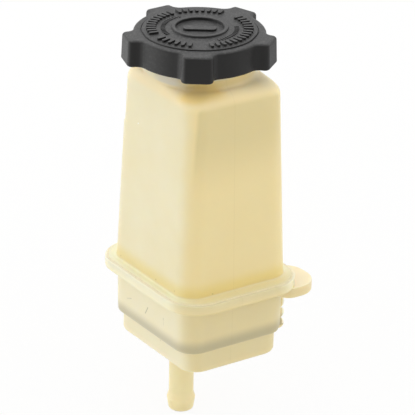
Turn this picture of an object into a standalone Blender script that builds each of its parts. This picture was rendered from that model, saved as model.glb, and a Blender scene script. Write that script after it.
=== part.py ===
"""Power steering fluid reservoir: two welded tank halves, a five-lobed screw cap, its seal and a strainer.

The origin lies on the tank's vertical axis, in the plane of the collar's underside. +Z points up, and the
tank's long side runs along X. The filler neck stands a little off the axis, and the hose spigot hangs from
the floor.
"""

import math

import bmesh
import bpy

MM = 0.001
CLEARANCE = 0.3 * MM  # running or seating gap between two separate pieces

# Tank walls.
WALL = 2.2 * MM
FLOOR = 2.4 * MM

# Collar: the lower half's rim, with a lip that the upper half's flange is welded into.
COLLAR_HALF_X = 40.2 * MM
COLLAR_HALF_Y = 34.3 * MM
COLLAR_CORNER = 16.6 * MM
COLLAR_HEIGHT = 4.85 * MM
COLLAR_EDGE_ROUND = 0.5 * MM
LIP_WIDTH = 1.2 * MM
FLANGE_SEAT_Z = 2.6 * MM
FLANGE_THICKNESS = 2.4 * MM
FLANGE_EDGE_ROUND = 0.5 * MM
FOOT_FILLET = 1.2 * MM

# Upper half: a drafted square body, a domed shoulder and the filler neck.
UPPER_FOOT_HALF_X = 33.0 * MM
UPPER_FOOT_HALF_Y = 29.3 * MM
UPPER_TOP_HALF_X = 30.6 * MM
UPPER_TOP_HALF_Y = 26.35 * MM
UPPER_CORNER = 9.8 * MM
SHOULDER_START_Z = 95.0 * MM
SHOULDER_BEND_WIDTH = 13.0 * MM
SHOULDER_BEND_HEIGHT = 7.8 * MM
SHOULDER_BEND_DEGREES = 75.0
SHOULDER_CORNER_GAIN = 0.3
NECK_X = -1.9 * MM
NECK_Y = -1.1 * MM
NECK_RADIUS = 25.1 * MM
NECK_WALL = 2.4 * MM
NECK_HEIGHT = 14.1 * MM
NECK_RIM_ROUND = 0.5 * MM

# Lower half: a body under the collar, a ledge for the strainer and a narrower base.
LOWER_HALF_X = 32.7 * MM
LOWER_HALF_Y = 29.0 * MM
LOWER_CORNER = 10.0 * MM
LOWER_DEPTH = 23.3 * MM
DRAFT_SHARE = 0.01
LEDGE_ROUND = 2.0 * MM
LEDGE_AT_ENDS = 0.9 * MM
LEDGE_AT_SIDES = 3.3 * MM
BASE_HALF_X = LOWER_HALF_X - LEDGE_AT_ENDS
BASE_HALF_Y = LOWER_HALF_Y - LEDGE_AT_SIDES
BASE_CORNER = 9.0 * MM
BASE_DEPTH = 10.6 * MM
BASE_ROUND = 1.8 * MM

# Fixing lug under the collar at the back, and the three ridges below it.
LUG_LEFT_X = 12.0 * MM
LUG_RIGHT_X = 37.8 * MM
LUG_END_Y = 43.2 * MM
LUG_CORNER = 11.2 * MM
LUG_ROOT_Y = 22.0 * MM
LUG_ROOT_CORNER = 7.0 * MM
LUG_THICKNESS = 5.05 * MM
LUG_TOP_Z = 0.55 * MM
LUG_EDGE_ROUND = 0.4 * MM
RIDGE_COUNT = 3
RIDGE_RADIUS = 2.8 * MM
RIDGE_PITCH = 5.4 * MM
RIDGE_FIRST_Z = -11.2 * MM
RIDGE_END_INSET = 5.5 * MM
RIDGE_SINK = 1.3 * MM

# Hose spigot in the floor.
SPIGOT_X = 0.0
SPIGOT_Y = -9.1 * MM
SPIGOT_LENGTH = 34.1 * MM
SPIGOT_RADIUS = 5.85 * MM
SPIGOT_BORE = 4.0 * MM
SPIGOT_ROOT_FILLET = 1.5 * MM
BEAD_RADIUS = 6.74 * MM
BEAD_FROM_END = 8.8 * MM
BEAD_RISE = 2.7 * MM
BEAD_LAND = 0.5 * MM
NOSE_RADIUS = 5.96 * MM
NOSE_ROUND = 0.8 * MM

# Screw cap.
LOBE_COUNT = 5
LOBE_REACH = 4.8 * MM
CAP_RIM_WALL = 2.9 * MM
LOBE_HALF_WIDTH = 6.9 * MM
LOBE_FILLET = 4.4 * MM
LOBE_CORNER = 1.8 * MM
LOBE_TURN = -35.2
CAP_HEIGHT = 12.6 * MM
CAP_TOP_PLATE = 2.6 * MM
CAP_WALL = 2.0 * MM
CAP_TOP_ROUND = 1.0 * MM
CAP_FLARE = 0.4 * MM
THREAD_ROOM = 2.3 * MM
SKIRT_WALL = 2.0 * MM
SKIRT_RISE = 0.6 * MM
CROWN_RISE = 1.0 * MM
CROWN_MARGIN = 3.9 * MM
CROWN_STEP = 0.5 * MM
RING_OUTER = 13.0 * MM
RING_INNER = 11.1 * MM
RING_RISE = 0.8 * MM
RING_RECESS = 0.6 * MM

# Seal between the neck's rim and the cap.
SEAL_THICKNESS = 1.5 * MM
SEAL_OVERHANG = 0.7 * MM

# Strainer on the ledge inside the lower half.
STRAINER_HEIGHT = 4.4 * MM
STRAINER_RIM = 3.0 * MM
STRAINER_SEAT = 1.2 * MM
STRAINER_BAR_HEIGHT = 2.2 * MM
STRAINER_BAR_WIDTH = 2.0 * MM
STRAINER_CROSS_BARS = 2
GAUZE_THICKNESS = 0.5 * MM

# Mesh fineness.
MERGE_DISTANCE = 0.000001
CORNER_STEPS = 10
ROUND_STEPS = 3
BEND_STEPS = 6
NECK_STEPS = 60
TURNED_STEPS = 40
ARC_STEPS = 4

# Levels worked out from the sizes above.
FLANGE_BOTTOM_Z = FLANGE_SEAT_Z + CLEARANCE
FLANGE_TOP_Z = FLANGE_BOTTOM_Z + FLANGE_THICKNESS
NECK_FOOT_Z = SHOULDER_START_Z + SHOULDER_BEND_HEIGHT
NECK_TOP_Z = NECK_FOOT_Z + NECK_HEIGHT
LEDGE_UNDER_Z = -LOWER_DEPTH
LEDGE_FLOOR_Z = LEDGE_UNDER_Z + WALL
BASE_BOTTOM_Z = LEDGE_UNDER_Z - BASE_DEPTH
SPIGOT_END_Z = BASE_BOTTOM_Z - SPIGOT_LENGTH
SEAL_BOTTOM_Z = NECK_TOP_Z + CLEARANCE
CAP_CEILING_Z = SEAL_BOTTOM_Z + SEAL_THICKNESS + CLEARANCE
CAP_TOP_Z = CAP_CEILING_Z + CAP_TOP_PLATE
CAP_BOTTOM_Z = CAP_TOP_Z - CAP_HEIGHT
SHOULDER_REACH = UPPER_TOP_HALF_Y - 0.4 * NECK_RADIUS
CAP_BORE = NECK_RADIUS + THREAD_ROOM
CAP_BASE_RADIUS = CAP_BORE + CAP_RIM_WALL
CAP_LOBE_RADIUS = CAP_BASE_RADIUS + LOBE_REACH
CROWN_RADIUS = CAP_BASE_RADIUS - CROWN_MARGIN


def clear_scene():
    """Removes every object, so that the model starts from an empty scene."""
    for found in list(bpy.data.objects):
        bpy.data.objects.remove(found, do_unlink=True)


def new_collection(name, helper=False):
    """Makes a collection under the scene's own. A helper collection stays out of renders."""
    made = bpy.data.collections.new(name)
    made.hide_render = helper
    bpy.context.scene.collection.children.link(made)
    return made


def plastic(name, colour, roughness, transmission=0.0):
    """Makes a plastic with a Principled surface."""
    made = bpy.data.materials.new(name)
    made.use_nodes = True
    shader = made.node_tree.nodes["Principled BSDF"]
    shader.inputs["Base Color"].default_value = (*colour, 1.0)
    shader.inputs["Roughness"].default_value = roughness
    shader.inputs["Metallic"].default_value = 0.0
    shader.inputs["Transmission Weight"].default_value = transmission
    return made


def quarter_angles():
    """The angles of one corner's points, both ends included, so that an outline reaches its full size."""
    return [math.pi / 2 * index / CORNER_STEPS for index in range(CORNER_STEPS + 1)]


def rounded_outline(half_x, half_y, radius, centre_x=0.0, centre_y=0.0, front_radius=None):
    """A rectangle with round corners, counter-clockwise. It is a circle where the halves equal the radius.

    The two corners at the -Y side can have a radius of their own.
    """
    points = []
    back = radius
    front = radius if front_radius is None else front_radius
    for turn, (side_x, side_y) in enumerate(((1, 1), (-1, 1), (-1, -1), (1, -1))):
        radius = back if side_y > 0 else front
        for angle in quarter_angles():
            heading = angle + turn * math.pi / 2
            points.append(
                (
                    centre_x + side_x * (half_x - radius) + radius * math.cos(heading),
                    centre_y + side_y * (half_y - radius) + radius * math.sin(heading),
                )
            )
    return points


def level(half_x, half_y, radius, z, centre_x=0.0, centre_y=0.0):
    """One ring of a loft: a rounded rectangle at height z."""
    return [(x, y, z) for x, y in rounded_outline(half_x, half_y, radius, centre_x, centre_y)]


def arc_steps(count):
    """Angles from 0 to a quarter turn, both ends included."""
    return [math.pi / 2 * index / count for index in range(count + 1)]


def add_mesh(name, collection, points, faces, smooth_angle=40.0):
    """Makes an object from points and faces, with its faces turned outwards and round parts shaded smooth.

    Points that fall together, as where a corner meets the next on a circle, are made one.
    """
    mesh = bpy.data.meshes.new(name)
    mesh.from_pydata(points, [], faces)
    work = bmesh.new()
    work.from_mesh(mesh)
    bmesh.ops.remove_doubles(work, verts=work.verts, dist=MERGE_DISTANCE)
    bmesh.ops.recalc_face_normals(work, faces=work.faces)
    work.to_mesh(mesh)
    work.free()
    mesh.shade_smooth()
    mesh.set_sharp_from_angle(angle=math.radians(smooth_angle))
    made = bpy.data.objects.new(name, mesh)
    collection.objects.link(made)
    return made


def loft(name, collection, rings, shell=False):
    """Joins rings of equal point count into a closed body.

    A shell joins the last ring back to the first, which leaves the way through it open. Otherwise the first
    and the last ring are filled.
    """
    count = len(rings[0])
    points = [point for ring in rings for point in ring]
    pairs = [(index, index + 1) for index in range(len(rings) - 1)]
    if shell:
        pairs.append((len(rings) - 1, 0))
    faces = []
    for low, high in pairs:
        for index in range(count):
            following = (index + 1) % count
            faces.append(
                (
                    low * count + index,
                    low * count + following,
                    high * count + following,
                    high * count + index,
                )
            )
    if not shell:
        faces.append(tuple(reversed(range(count))))
        faces.append(tuple(range((len(rings) - 1) * count, len(rings) * count)))
    return add_mesh(name, collection, points, faces)


def turned(name, collection, profile, centre_x=0.0, centre_y=0.0, steps=TURNED_STEPS):
    """Turns a profile of (radius, z) points round a vertical axis.

    The profile runs down its outer side, top to bottom. A ring's profile is closed, and a disc's starts and
    ends on the axis.
    """
    mesh = bpy.data.meshes.new(name)
    closed = profile[0][0] > 0.0
    points = [(radius, 0.0, z) for radius, z in profile]
    edges = [(index, index + 1) for index in range(len(points) - 1)]
    if closed:
        edges.append((len(points) - 1, 0))
    mesh.from_pydata(points, edges, [])
    made = bpy.data.objects.new(name, mesh)
    made.location = (centre_x, centre_y, 0.0)
    collection.objects.link(made)
    screw = made.modifiers.new("Turn", "SCREW")
    screw.axis = "Z"
    screw.angle = 2 * math.pi
    screw.steps = steps
    screw.render_steps = steps
    screw.use_merge_vertices = True
    screw.merge_threshold = MERGE_DISTANCE
    screw.use_smooth_shade = True
    return made


def boolean(target, other, operation):
    """Adds an exact Boolean of another mesh to the target and hides the other one."""
    modifier = target.modifiers.new(f"{operation.title()} {other.name}", "BOOLEAN")
    modifier.operation = operation
    modifier.solver = "EXACT"
    modifier.object = other
    other.hide_render = True
    other.display_type = "WIRE"


def even_shading(target):
    """Keeps flat faces flat to look at after Booleans have cut them."""
    modifier = target.modifiers.new("Even shading", "WEIGHTED_NORMAL")
    modifier.mode = "FACE_AREA"
    modifier.weight = 60
    modifier.keep_sharp = True


def round_over(half_x, half_y, radius, edge_z, rounding, upwards):
    """Rings of a convex edge round, from the side face inwards. It ends at edge_z."""
    rings = []
    side = 1.0 if upwards else -1.0
    for angle in arc_steps(ROUND_STEPS):
        inset = rounding * (1.0 - math.cos(angle))
        z = edge_z - side * rounding * (1.0 - math.sin(angle))
        rings.append(level(half_x - inset, half_y - inset, radius - inset, z))
    return rings


def drafted(size, depth):
    """A half size after the mould's draft over some depth."""
    return size - DRAFT_SHARE * depth


def upper_wall_half(z, inset):
    """Half sizes and corner radius of the upper body at height z, inset from its outer face."""
    share = (z - FLANGE_TOP_Z) / (SHOULDER_START_Z - FLANGE_TOP_Z)
    half_x = UPPER_FOOT_HALF_X + (UPPER_TOP_HALF_X - UPPER_FOOT_HALF_X) * share - inset
    half_y = UPPER_FOOT_HALF_Y + (UPPER_TOP_HALF_Y - UPPER_FOOT_HALF_Y) * share - inset
    return half_x, half_y, UPPER_CORNER - inset


def shoulder_rings(inset):
    """Rings of the shoulder: the body's outline drawn in over an elliptic bend and then a gentle slope.

    The inset moves each point at right angles to the surface, so that the wall keeps its thickness.
    """
    half_x, half_y, corner = upper_wall_half(SHOULDER_START_Z, 0.0)
    last = math.radians(SHOULDER_BEND_DEGREES)
    points = []
    for index in range(BEND_STEPS + 1):
        angle = last * index / BEND_STEPS
        across = SHOULDER_BEND_HEIGHT * math.cos(angle)
        along = SHOULDER_BEND_WIDTH * math.sin(angle)
        length = math.hypot(across, along)
        inward = SHOULDER_BEND_WIDTH * (1.0 - math.cos(angle)) + inset * across / length
        rise = SHOULDER_BEND_HEIGHT * math.sin(angle) - inset * along / length
        points.append((inward, rise))
    inward, rise = points[-1]
    steepness = SHOULDER_BEND_HEIGHT * math.cos(last) / (SHOULDER_BEND_WIDTH * math.sin(last))
    points.append((SHOULDER_REACH, rise + (SHOULDER_REACH - inward) * steepness))
    rings = []
    for inward, rise in points:
        size_x = half_x - inward
        size_y = half_y - inward
        radius = min(corner - inset + SHOULDER_CORNER_GAIN * (inward - inset), size_x, size_y)
        rings.append(level(size_x, size_y, radius, SHOULDER_START_Z + rise))
    return rings


def build_upper_tank(collection, cutters):
    """The upper half: flange, drafted body, rounded shoulder and filler neck, hollow and open below."""
    edge = LIP_WIDTH + CLEARANCE
    flange_x = COLLAR_HALF_X - edge
    flange_y = COLLAR_HALF_Y - edge
    flange_corner = COLLAR_CORNER - edge
    rings = [level(flange_x, flange_y, flange_corner, FLANGE_BOTTOM_Z)]
    rings += round_over(flange_x, flange_y, flange_corner, FLANGE_TOP_Z, FLANGE_EDGE_ROUND, True)
    foot_x, foot_y, foot_corner = upper_wall_half(FLANGE_TOP_Z, 0.0)
    for angle in arc_steps(ROUND_STEPS):
        spread = FOOT_FILLET * (1.0 - math.sin(angle))
        z = FLANGE_TOP_Z + FOOT_FILLET * (1.0 - math.cos(angle))
        rings.append(level(foot_x + spread, foot_y + spread, foot_corner + spread, z))
    rings += shoulder_rings(0.0)
    tank = loft("upper_tank", collection, rings)
    neck = [
        (0.0, NECK_TOP_Z),
        (NECK_RADIUS - NECK_RIM_ROUND, NECK_TOP_Z),
        (NECK_RADIUS, NECK_TOP_Z - NECK_RIM_ROUND),
        (NECK_RADIUS, SHOULDER_START_Z - WALL),
        (0.0, SHOULDER_START_Z - WALL),
    ]
    boolean(tank, turned("neck_solid", cutters, neck, NECK_X, NECK_Y, NECK_STEPS), "UNION")
    inner_x, inner_y, inner_corner = upper_wall_half(FLANGE_TOP_Z, WALL)
    inside = [
        level(inner_x, inner_y, inner_corner, FLANGE_BOTTOM_Z - FLANGE_THICKNESS),
        level(inner_x, inner_y, inner_corner, FLANGE_TOP_Z),
    ]
    inside += shoulder_rings(WALL)
    boolean(tank, loft("upper_cavity_cutter", cutters, inside), "DIFFERENCE")
    mouth = NECK_RADIUS - NECK_WALL
    bore = [
        (0.0, NECK_TOP_Z + WALL),
        (mouth, NECK_TOP_Z + WALL),
        (mouth, SHOULDER_START_Z + CLEARANCE),
        (0.0, SHOULDER_START_Z + CLEARANCE),
    ]
    boolean(tank, turned("mouth_cutter", cutters, bore, NECK_X, NECK_Y, NECK_STEPS), "DIFFERENCE")
    even_shading(tank)
    return tank


def lower_solid_rings():
    """Outer rings of the lower half, from the floor's underside up to the collar's top edge."""
    base_x = drafted(BASE_HALF_X, BASE_DEPTH)
    base_y = drafted(BASE_HALF_Y, BASE_DEPTH)
    rings = list(reversed(round_over(base_x, base_y, BASE_CORNER, BASE_BOTTOM_Z, BASE_ROUND, False)))
    rings.append(level(BASE_HALF_X, BASE_HALF_Y, BASE_CORNER, LEDGE_UNDER_Z))
    side_x = drafted(LOWER_HALF_X, LOWER_DEPTH)
    side_y = drafted(LOWER_HALF_Y, LOWER_DEPTH)
    reach = min(LEDGE_ROUND, side_x - BASE_HALF_X - CLEARANCE)
    for angle in reversed(arc_steps(ROUND_STEPS)):
        share = 1.0 - math.cos(angle)
        z = LEDGE_UNDER_Z + LEDGE_ROUND * (1.0 - math.sin(angle))
        rings.append(
            level(side_x - reach * share, side_y - LEDGE_ROUND * share, LOWER_CORNER - LEDGE_ROUND * share, z)
        )
    rings.append(level(LOWER_HALF_X, LOWER_HALF_Y, LOWER_CORNER, 0.0))
    rings += list(
        reversed(
            round_over(COLLAR_HALF_X, COLLAR_HALF_Y, COLLAR_CORNER, 0.0, COLLAR_EDGE_ROUND, False)
        )
    )
    rings += round_over(
        COLLAR_HALF_X, COLLAR_HALF_Y, COLLAR_CORNER, COLLAR_HEIGHT, COLLAR_EDGE_ROUND, True
    )
    return rings


def cavity_rings():
    """Rings of the lower half's inside, from the floor up through the ledge, the seat and the lip."""
    base_x = drafted(BASE_HALF_X, BASE_DEPTH) - WALL
    base_y = drafted(BASE_HALF_Y, BASE_DEPTH) - WALL
    base_corner = BASE_CORNER - WALL
    floor_z = BASE_BOTTOM_Z + FLOOR
    rings = list(reversed(round_over(base_x, base_y, base_corner, floor_z, BASE_ROUND, False)))
    rings.append(level(BASE_HALF_X - WALL, BASE_HALF_Y - WALL, base_corner, LEDGE_FLOOR_Z))
    side_x = drafted(LOWER_HALF_X, LOWER_DEPTH) - WALL
    side_y = drafted(LOWER_HALF_Y, LOWER_DEPTH) - WALL
    rings.append(level(side_x, side_y, LOWER_CORNER - WALL, LEDGE_FLOOR_Z))
    rings.append(level(LOWER_HALF_X - WALL, LOWER_HALF_Y - WALL, LOWER_CORNER - WALL, FLANGE_SEAT_Z))
    lip_x = COLLAR_HALF_X - LIP_WIDTH
    lip_y = COLLAR_HALF_Y - LIP_WIDTH
    lip_corner = COLLAR_CORNER - LIP_WIDTH
    rings.append(level(lip_x, lip_y, lip_corner, FLANGE_SEAT_Z))
    rings.append(level(lip_x, lip_y, lip_corner, COLLAR_HEIGHT + FLANGE_THICKNESS))
    return rings


def spigot_profile():
    """Outer profile of the hose spigot, top to bottom, from inside the floor to the end face."""
    bead_top_z = SPIGOT_END_Z + BEAD_FROM_END
    bead_max_z = bead_top_z - BEAD_RISE
    profile = [(0.0, BASE_BOTTOM_Z + FLOOR / 2)]
    profile.append((SPIGOT_RADIUS + SPIGOT_ROOT_FILLET, BASE_BOTTOM_Z + FLOOR / 2))
    for angle in arc_steps(ROUND_STEPS):
        profile.append(
            (
                SPIGOT_RADIUS + SPIGOT_ROOT_FILLET * (1.0 - math.sin(angle)),
                BASE_BOTTOM_Z - SPIGOT_ROOT_FILLET * (1.0 - math.cos(angle)),
            )
        )
    profile.append((SPIGOT_RADIUS, bead_top_z))
    profile.append((BEAD_RADIUS, bead_max_z))
    profile.append((BEAD_RADIUS, bead_max_z - BEAD_LAND))
    profile.append((NOSE_RADIUS, SPIGOT_END_Z + NOSE_ROUND))
    profile.append((NOSE_RADIUS - NOSE_ROUND * 0.3, SPIGOT_END_Z + NOSE_ROUND * 0.3))
    profile.append((NOSE_RADIUS - NOSE_ROUND, SPIGOT_END_Z))
    profile.append((0.0, SPIGOT_END_Z))
    return profile


def lug_rings():
    """Rings of the fixing lug, whose inner end is buried in the rim and the tank's wall."""
    centre_x = (LUG_LEFT_X + LUG_RIGHT_X) / 2
    half_x = (LUG_RIGHT_X - LUG_LEFT_X) / 2
    centre_y = (LUG_END_Y + LUG_ROOT_Y) / 2
    half_y = (LUG_END_Y - LUG_ROOT_Y) / 2
    bottom_z = LUG_TOP_Z - LUG_THICKNESS
    rings = []
    for inset, z in (
        (LUG_EDGE_ROUND, bottom_z),
        (0.0, bottom_z + LUG_EDGE_ROUND),
        (0.0, LUG_TOP_Z - LUG_EDGE_ROUND),
        (LUG_EDGE_ROUND, LUG_TOP_Z),
    ):
        outline = rounded_outline(
            half_x - inset,
            half_y - inset,
            LUG_CORNER - inset,
            centre_x,
            centre_y,
            LUG_ROOT_CORNER - inset,
        )
        rings.append([(x, y, z) for x, y in outline])
    return rings


def ridge(collection, index):
    """One half-round ridge across the back wall under the lug."""
    right_x = LOWER_HALF_X - RIDGE_END_INSET
    length = right_x - LUG_LEFT_X
    bpy.ops.mesh.primitive_cylinder_add(
        vertices=24,
        radius=RIDGE_RADIUS,
        depth=length,
        location=(
            LUG_LEFT_X + length / 2,
            LOWER_HALF_Y - RIDGE_SINK,
            RIDGE_FIRST_Z - index * RIDGE_PITCH,
        ),
        rotation=(0.0, math.pi / 2, 0.0),
    )
    made = bpy.context.object
    made.name = f"ridge_{index + 1}"
    for other in list(made.users_collection):
        other.objects.unlink(made)
    collection.objects.link(made)
    return made


def build_lower_tank(collection, cutters):
    """The lower half: collar, body, ledge, base, lug, ridges and spigot, as one moulding."""
    tank = loft("lower_tank", collection, lower_solid_rings())
    boolean(tank, loft("lug_solid", cutters, lug_rings()), "UNION")
    for index in range(RIDGE_COUNT):
        boolean(tank, ridge(cutters, index), "UNION")
    spigot = turned("spigot_solid", cutters, spigot_profile(), SPIGOT_X, SPIGOT_Y)
    boolean(tank, spigot, "UNION")
    boolean(tank, loft("cavity_cutter", cutters, cavity_rings()), "DIFFERENCE")
    reach = BASE_DEPTH / 2
    bore = [
        (0.0, BASE_BOTTOM_Z + reach),
        (SPIGOT_BORE, BASE_BOTTOM_Z + reach),
        (SPIGOT_BORE, SPIGOT_END_Z - reach),
        (0.0, SPIGOT_END_Z - reach),
    ]
    boolean(tank, turned("bore_cutter", cutters, bore, SPIGOT_X, SPIGOT_Y), "DIFFERENCE")
    even_shading(tank)
    return tank


def lobe_half_outline(inset):
    """Half of one lobe's outline, in the lobe's own frame, from the valley's middle to the lobe's middle.

    The base circle runs into a hollow fillet, a straight flank, a round corner and the flat outer face.
    """
    base = CAP_BASE_RADIUS - inset
    half = LOBE_HALF_WIDTH - inset
    hollow = LOBE_FILLET + inset
    corner = max(LOBE_CORNER - inset, 0.2 * MM)
    outer = CAP_LOBE_RADIUS - inset
    centre_y = half + hollow
    centre_x = math.sqrt((base + hollow) ** 2 - centre_y**2)
    valley = math.pi / LOBE_COUNT
    tangent = math.atan2(centre_y, centre_x)
    points = []
    for index in range(ARC_STEPS):
        angle = valley + (tangent - valley) * (index + 0.5) / (ARC_STEPS + 0.5)
        points.append((base * math.cos(angle), base * math.sin(angle)))
    start = math.pi + tangent
    end = 1.5 * math.pi
    for index in range(1, ARC_STEPS + 1):
        angle = start + (end - start) * index / ARC_STEPS
        points.append((centre_x + hollow * math.cos(angle), centre_y + hollow * math.sin(angle)))
    for index in range(ARC_STEPS + 1):
        angle = math.pi / 2 * (1.0 - index / ARC_STEPS)
        points.append(
            (outer - corner + corner * math.cos(angle), half - corner + corner * math.sin(angle))
        )
    return points


def lobed_level(inset, z):
    """One ring of the cap's five-lobed outline at height z, counter-clockwise."""
    half = lobe_half_outline(inset)
    one = [(x, -y) for x, y in half] + [(x, y) for x, y in reversed(half)]
    ring = []
    for lobe in range(LOBE_COUNT):
        turn = math.radians(LOBE_TURN) + lobe * 2 * math.pi / LOBE_COUNT
        for x, y in one:
            ring.append(
                (
                    NECK_X + x * math.cos(turn) - y * math.sin(turn),
                    NECK_Y + x * math.sin(turn) + y * math.cos(turn),
                    z,
                )
            )
    return ring


def build_cap(collection, cutters):
    """The screw cap: a hollow five-lobed grip, a threaded inner skirt, a crowned top and a raised ring."""
    rings = [lobed_level(-CAP_FLARE, CAP_BOTTOM_Z)]
    for angle in arc_steps(ROUND_STEPS):
        inset = CAP_TOP_ROUND * (1.0 - math.cos(angle))
        rings.append(lobed_level(inset, CAP_TOP_Z - CAP_TOP_ROUND * (1.0 - math.sin(angle))))
    cap = loft("cap", collection, rings)
    hollow = loft(
        "cap_hollow_cutter",
        cutters,
        [
            lobed_level(CAP_WALL - 2 * CAP_FLARE, CAP_BOTTOM_Z - CAP_HEIGHT),
            lobed_level(CAP_WALL, CAP_CEILING_Z),
        ],
    )
    boolean(cap, hollow, "DIFFERENCE")
    skirt_bottom = CAP_BOTTOM_Z + SKIRT_RISE
    skirt_top = CAP_CEILING_Z + CAP_TOP_PLATE / 2
    skirt = [
        (CAP_BORE + SKIRT_WALL, skirt_top),
        (CAP_BORE + SKIRT_WALL, skirt_bottom),
        (CAP_BORE, skirt_bottom),
        (CAP_BORE, skirt_top),
    ]
    boolean(cap, turned("cap_skirt_solid", cutters, skirt, NECK_X, NECK_Y, 60), "UNION")
    buried = CAP_TOP_Z - CAP_TOP_PLATE / 2
    crown_z = CAP_TOP_Z + CROWN_RISE
    ring_z = crown_z + RING_RISE
    recess_z = crown_z - RING_RECESS
    crown = [
        (0.0, recess_z),
        (RING_INNER, recess_z),
        (RING_INNER, ring_z),
        (RING_OUTER, ring_z),
        (RING_OUTER, crown_z),
        (CROWN_RADIUS - CROWN_STEP, CAP_TOP_Z + CROWN_STEP),
        (CROWN_RADIUS, CAP_TOP_Z),
        (CROWN_RADIUS, buried),
        (0.0, buried),
    ]
    boolean(cap, turned("crown_solid", cutters, crown, NECK_X, NECK_Y, 60), "UNION")
    even_shading(cap)
    return cap


def build_cap_seal(collection):
    """The flat ring that the cap presses on the neck's rim."""
    outer = NECK_RADIUS + SEAL_OVERHANG
    inner = NECK_RADIUS - NECK_WALL - SEAL_OVERHANG
    top = SEAL_BOTTOM_Z + SEAL_THICKNESS
    profile = [(outer, top), (outer, SEAL_BOTTOM_Z), (inner, SEAL_BOTTOM_Z), (inner, top)]
    return turned("cap_seal", collection, profile, NECK_X, NECK_Y, 48)


def strainer_half():
    """Half sizes and corner radius of the strainer's outer edge, a clearance inside the wall."""
    room = WALL + CLEARANCE
    return (
        drafted(LOWER_HALF_X, LOWER_DEPTH) - room,
        drafted(LOWER_HALF_Y, LOWER_DEPTH) - room,
        LOWER_CORNER - room,
    )


def add_bar(collection, name, size, location):
    """A straight bar of the strainer's frame."""
    bpy.ops.mesh.primitive_cube_add(size=1.0, location=location)
    made = bpy.context.object
    made.name = name
    made.scale = size
    bpy.ops.object.transform_apply(location=False, rotation=False, scale=True)
    for other in list(made.users_collection):
        other.objects.unlink(made)
    collection.objects.link(made)
    return made


def build_strainer_frame(collection, cutters):
    """The strainer's rim with its seat for the gauze, and the bars that carry the gauze."""
    half_x, half_y, corner = strainer_half()
    bottom = LEDGE_FLOOR_Z + CLEARANCE
    seat = bottom + STRAINER_BAR_HEIGHT
    top = bottom + STRAINER_HEIGHT
    wide = STRAINER_RIM
    narrow = STRAINER_RIM - STRAINER_SEAT
    frame = loft(
        "strainer_frame",
        collection,
        [
            level(half_x, half_y, corner, bottom),
            level(half_x, half_y, corner, top),
            level(half_x - narrow, half_y - narrow, corner - narrow, top),
            level(half_x - narrow, half_y - narrow, corner - narrow, seat),
            level(half_x - wide, half_y - wide, corner - wide, seat),
            level(half_x - wide, half_y - wide, corner - wide, bottom),
        ],
        shell=True,
    )
    reach = 2 * (half_y - wide + STRAINER_SEAT / 2)
    bar_z = bottom + STRAINER_BAR_HEIGHT / 2
    low = STRAINER_BAR_HEIGHT - CLEARANCE
    for index in range(STRAINER_CROSS_BARS):
        place = half_x * (2 * (index + 1) / (STRAINER_CROSS_BARS + 1) - 1)
        bar = add_bar(
            cutters,
            f"cross_bar_{index + 1}",
            (STRAINER_BAR_WIDTH, reach, low),
            (place, 0.0, bar_z),
        )
        boolean(frame, bar, "UNION")
    long_reach = 2 * (half_x - wide + STRAINER_SEAT / 2)
    spine = add_bar(
        cutters, "spine_bar", (long_reach, STRAINER_BAR_WIDTH, low - CLEARANCE), (0.0, 0.0, bar_z)
    )
    boolean(frame, spine, "UNION")
    return frame


def build_strainer_gauze(collection):
    """The fine gauze as a thin sheet in the frame's seat."""
    half_x, half_y, corner = strainer_half()
    inset = STRAINER_RIM - STRAINER_SEAT + CLEARANCE
    bottom = LEDGE_FLOOR_Z + CLEARANCE + STRAINER_BAR_HEIGHT + CLEARANCE
    size = (half_x - inset, half_y - inset, corner - inset)
    return loft(
        "strainer_gauze",
        collection,
        [level(*size, bottom), level(*size, bottom + GAUZE_THICKNESS)],
    )


def main():
    clear_scene()
    parts = new_collection("Power steering reservoir")
    cutters = new_collection("Cutters", helper=True)
    aged = plastic("aged_tank_plastic", (0.80, 0.68, 0.40), 0.42, 0.1)
    aged_lower = plastic("aged_lower_tank_plastic", (0.79, 0.67, 0.42), 0.42, 0.1)
    black = plastic("black_cap_plastic", (0.035, 0.035, 0.037), 0.5)
    rubber = plastic("seal_rubber", (0.02, 0.02, 0.02), 0.8)
    grey = plastic("strainer_plastic", (0.25, 0.25, 0.24), 0.6)
    gauze_finish = plastic("gauze", (0.35, 0.35, 0.33), 0.7)
    build_upper_tank(parts, cutters).data.materials.append(aged)
    build_lower_tank(parts, cutters).data.materials.append(aged_lower)
    build_cap(parts, cutters).data.materials.append(black)
    build_cap_seal(parts).data.materials.append(rubber)
    build_strainer_frame(parts, cutters).data.materials.append(grey)
    build_strainer_gauze(parts).data.materials.append(gauze_finish)


main()
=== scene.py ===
"""Looks of a power steering fluid reservoir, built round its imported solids.

The tank is natural polypropylene that has yellowed, welded from two mouldings. The cap is black
polypropylene with five lobes. Sizes are in millimetres and turn into metres when a mesh is made.
"""

from __future__ import annotations

import logging
import math
from collections.abc import Sequence
from dataclasses import dataclass
from enum import Enum, auto

import bmesh
import bpy
from mathutils import Matrix, Vector

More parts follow.
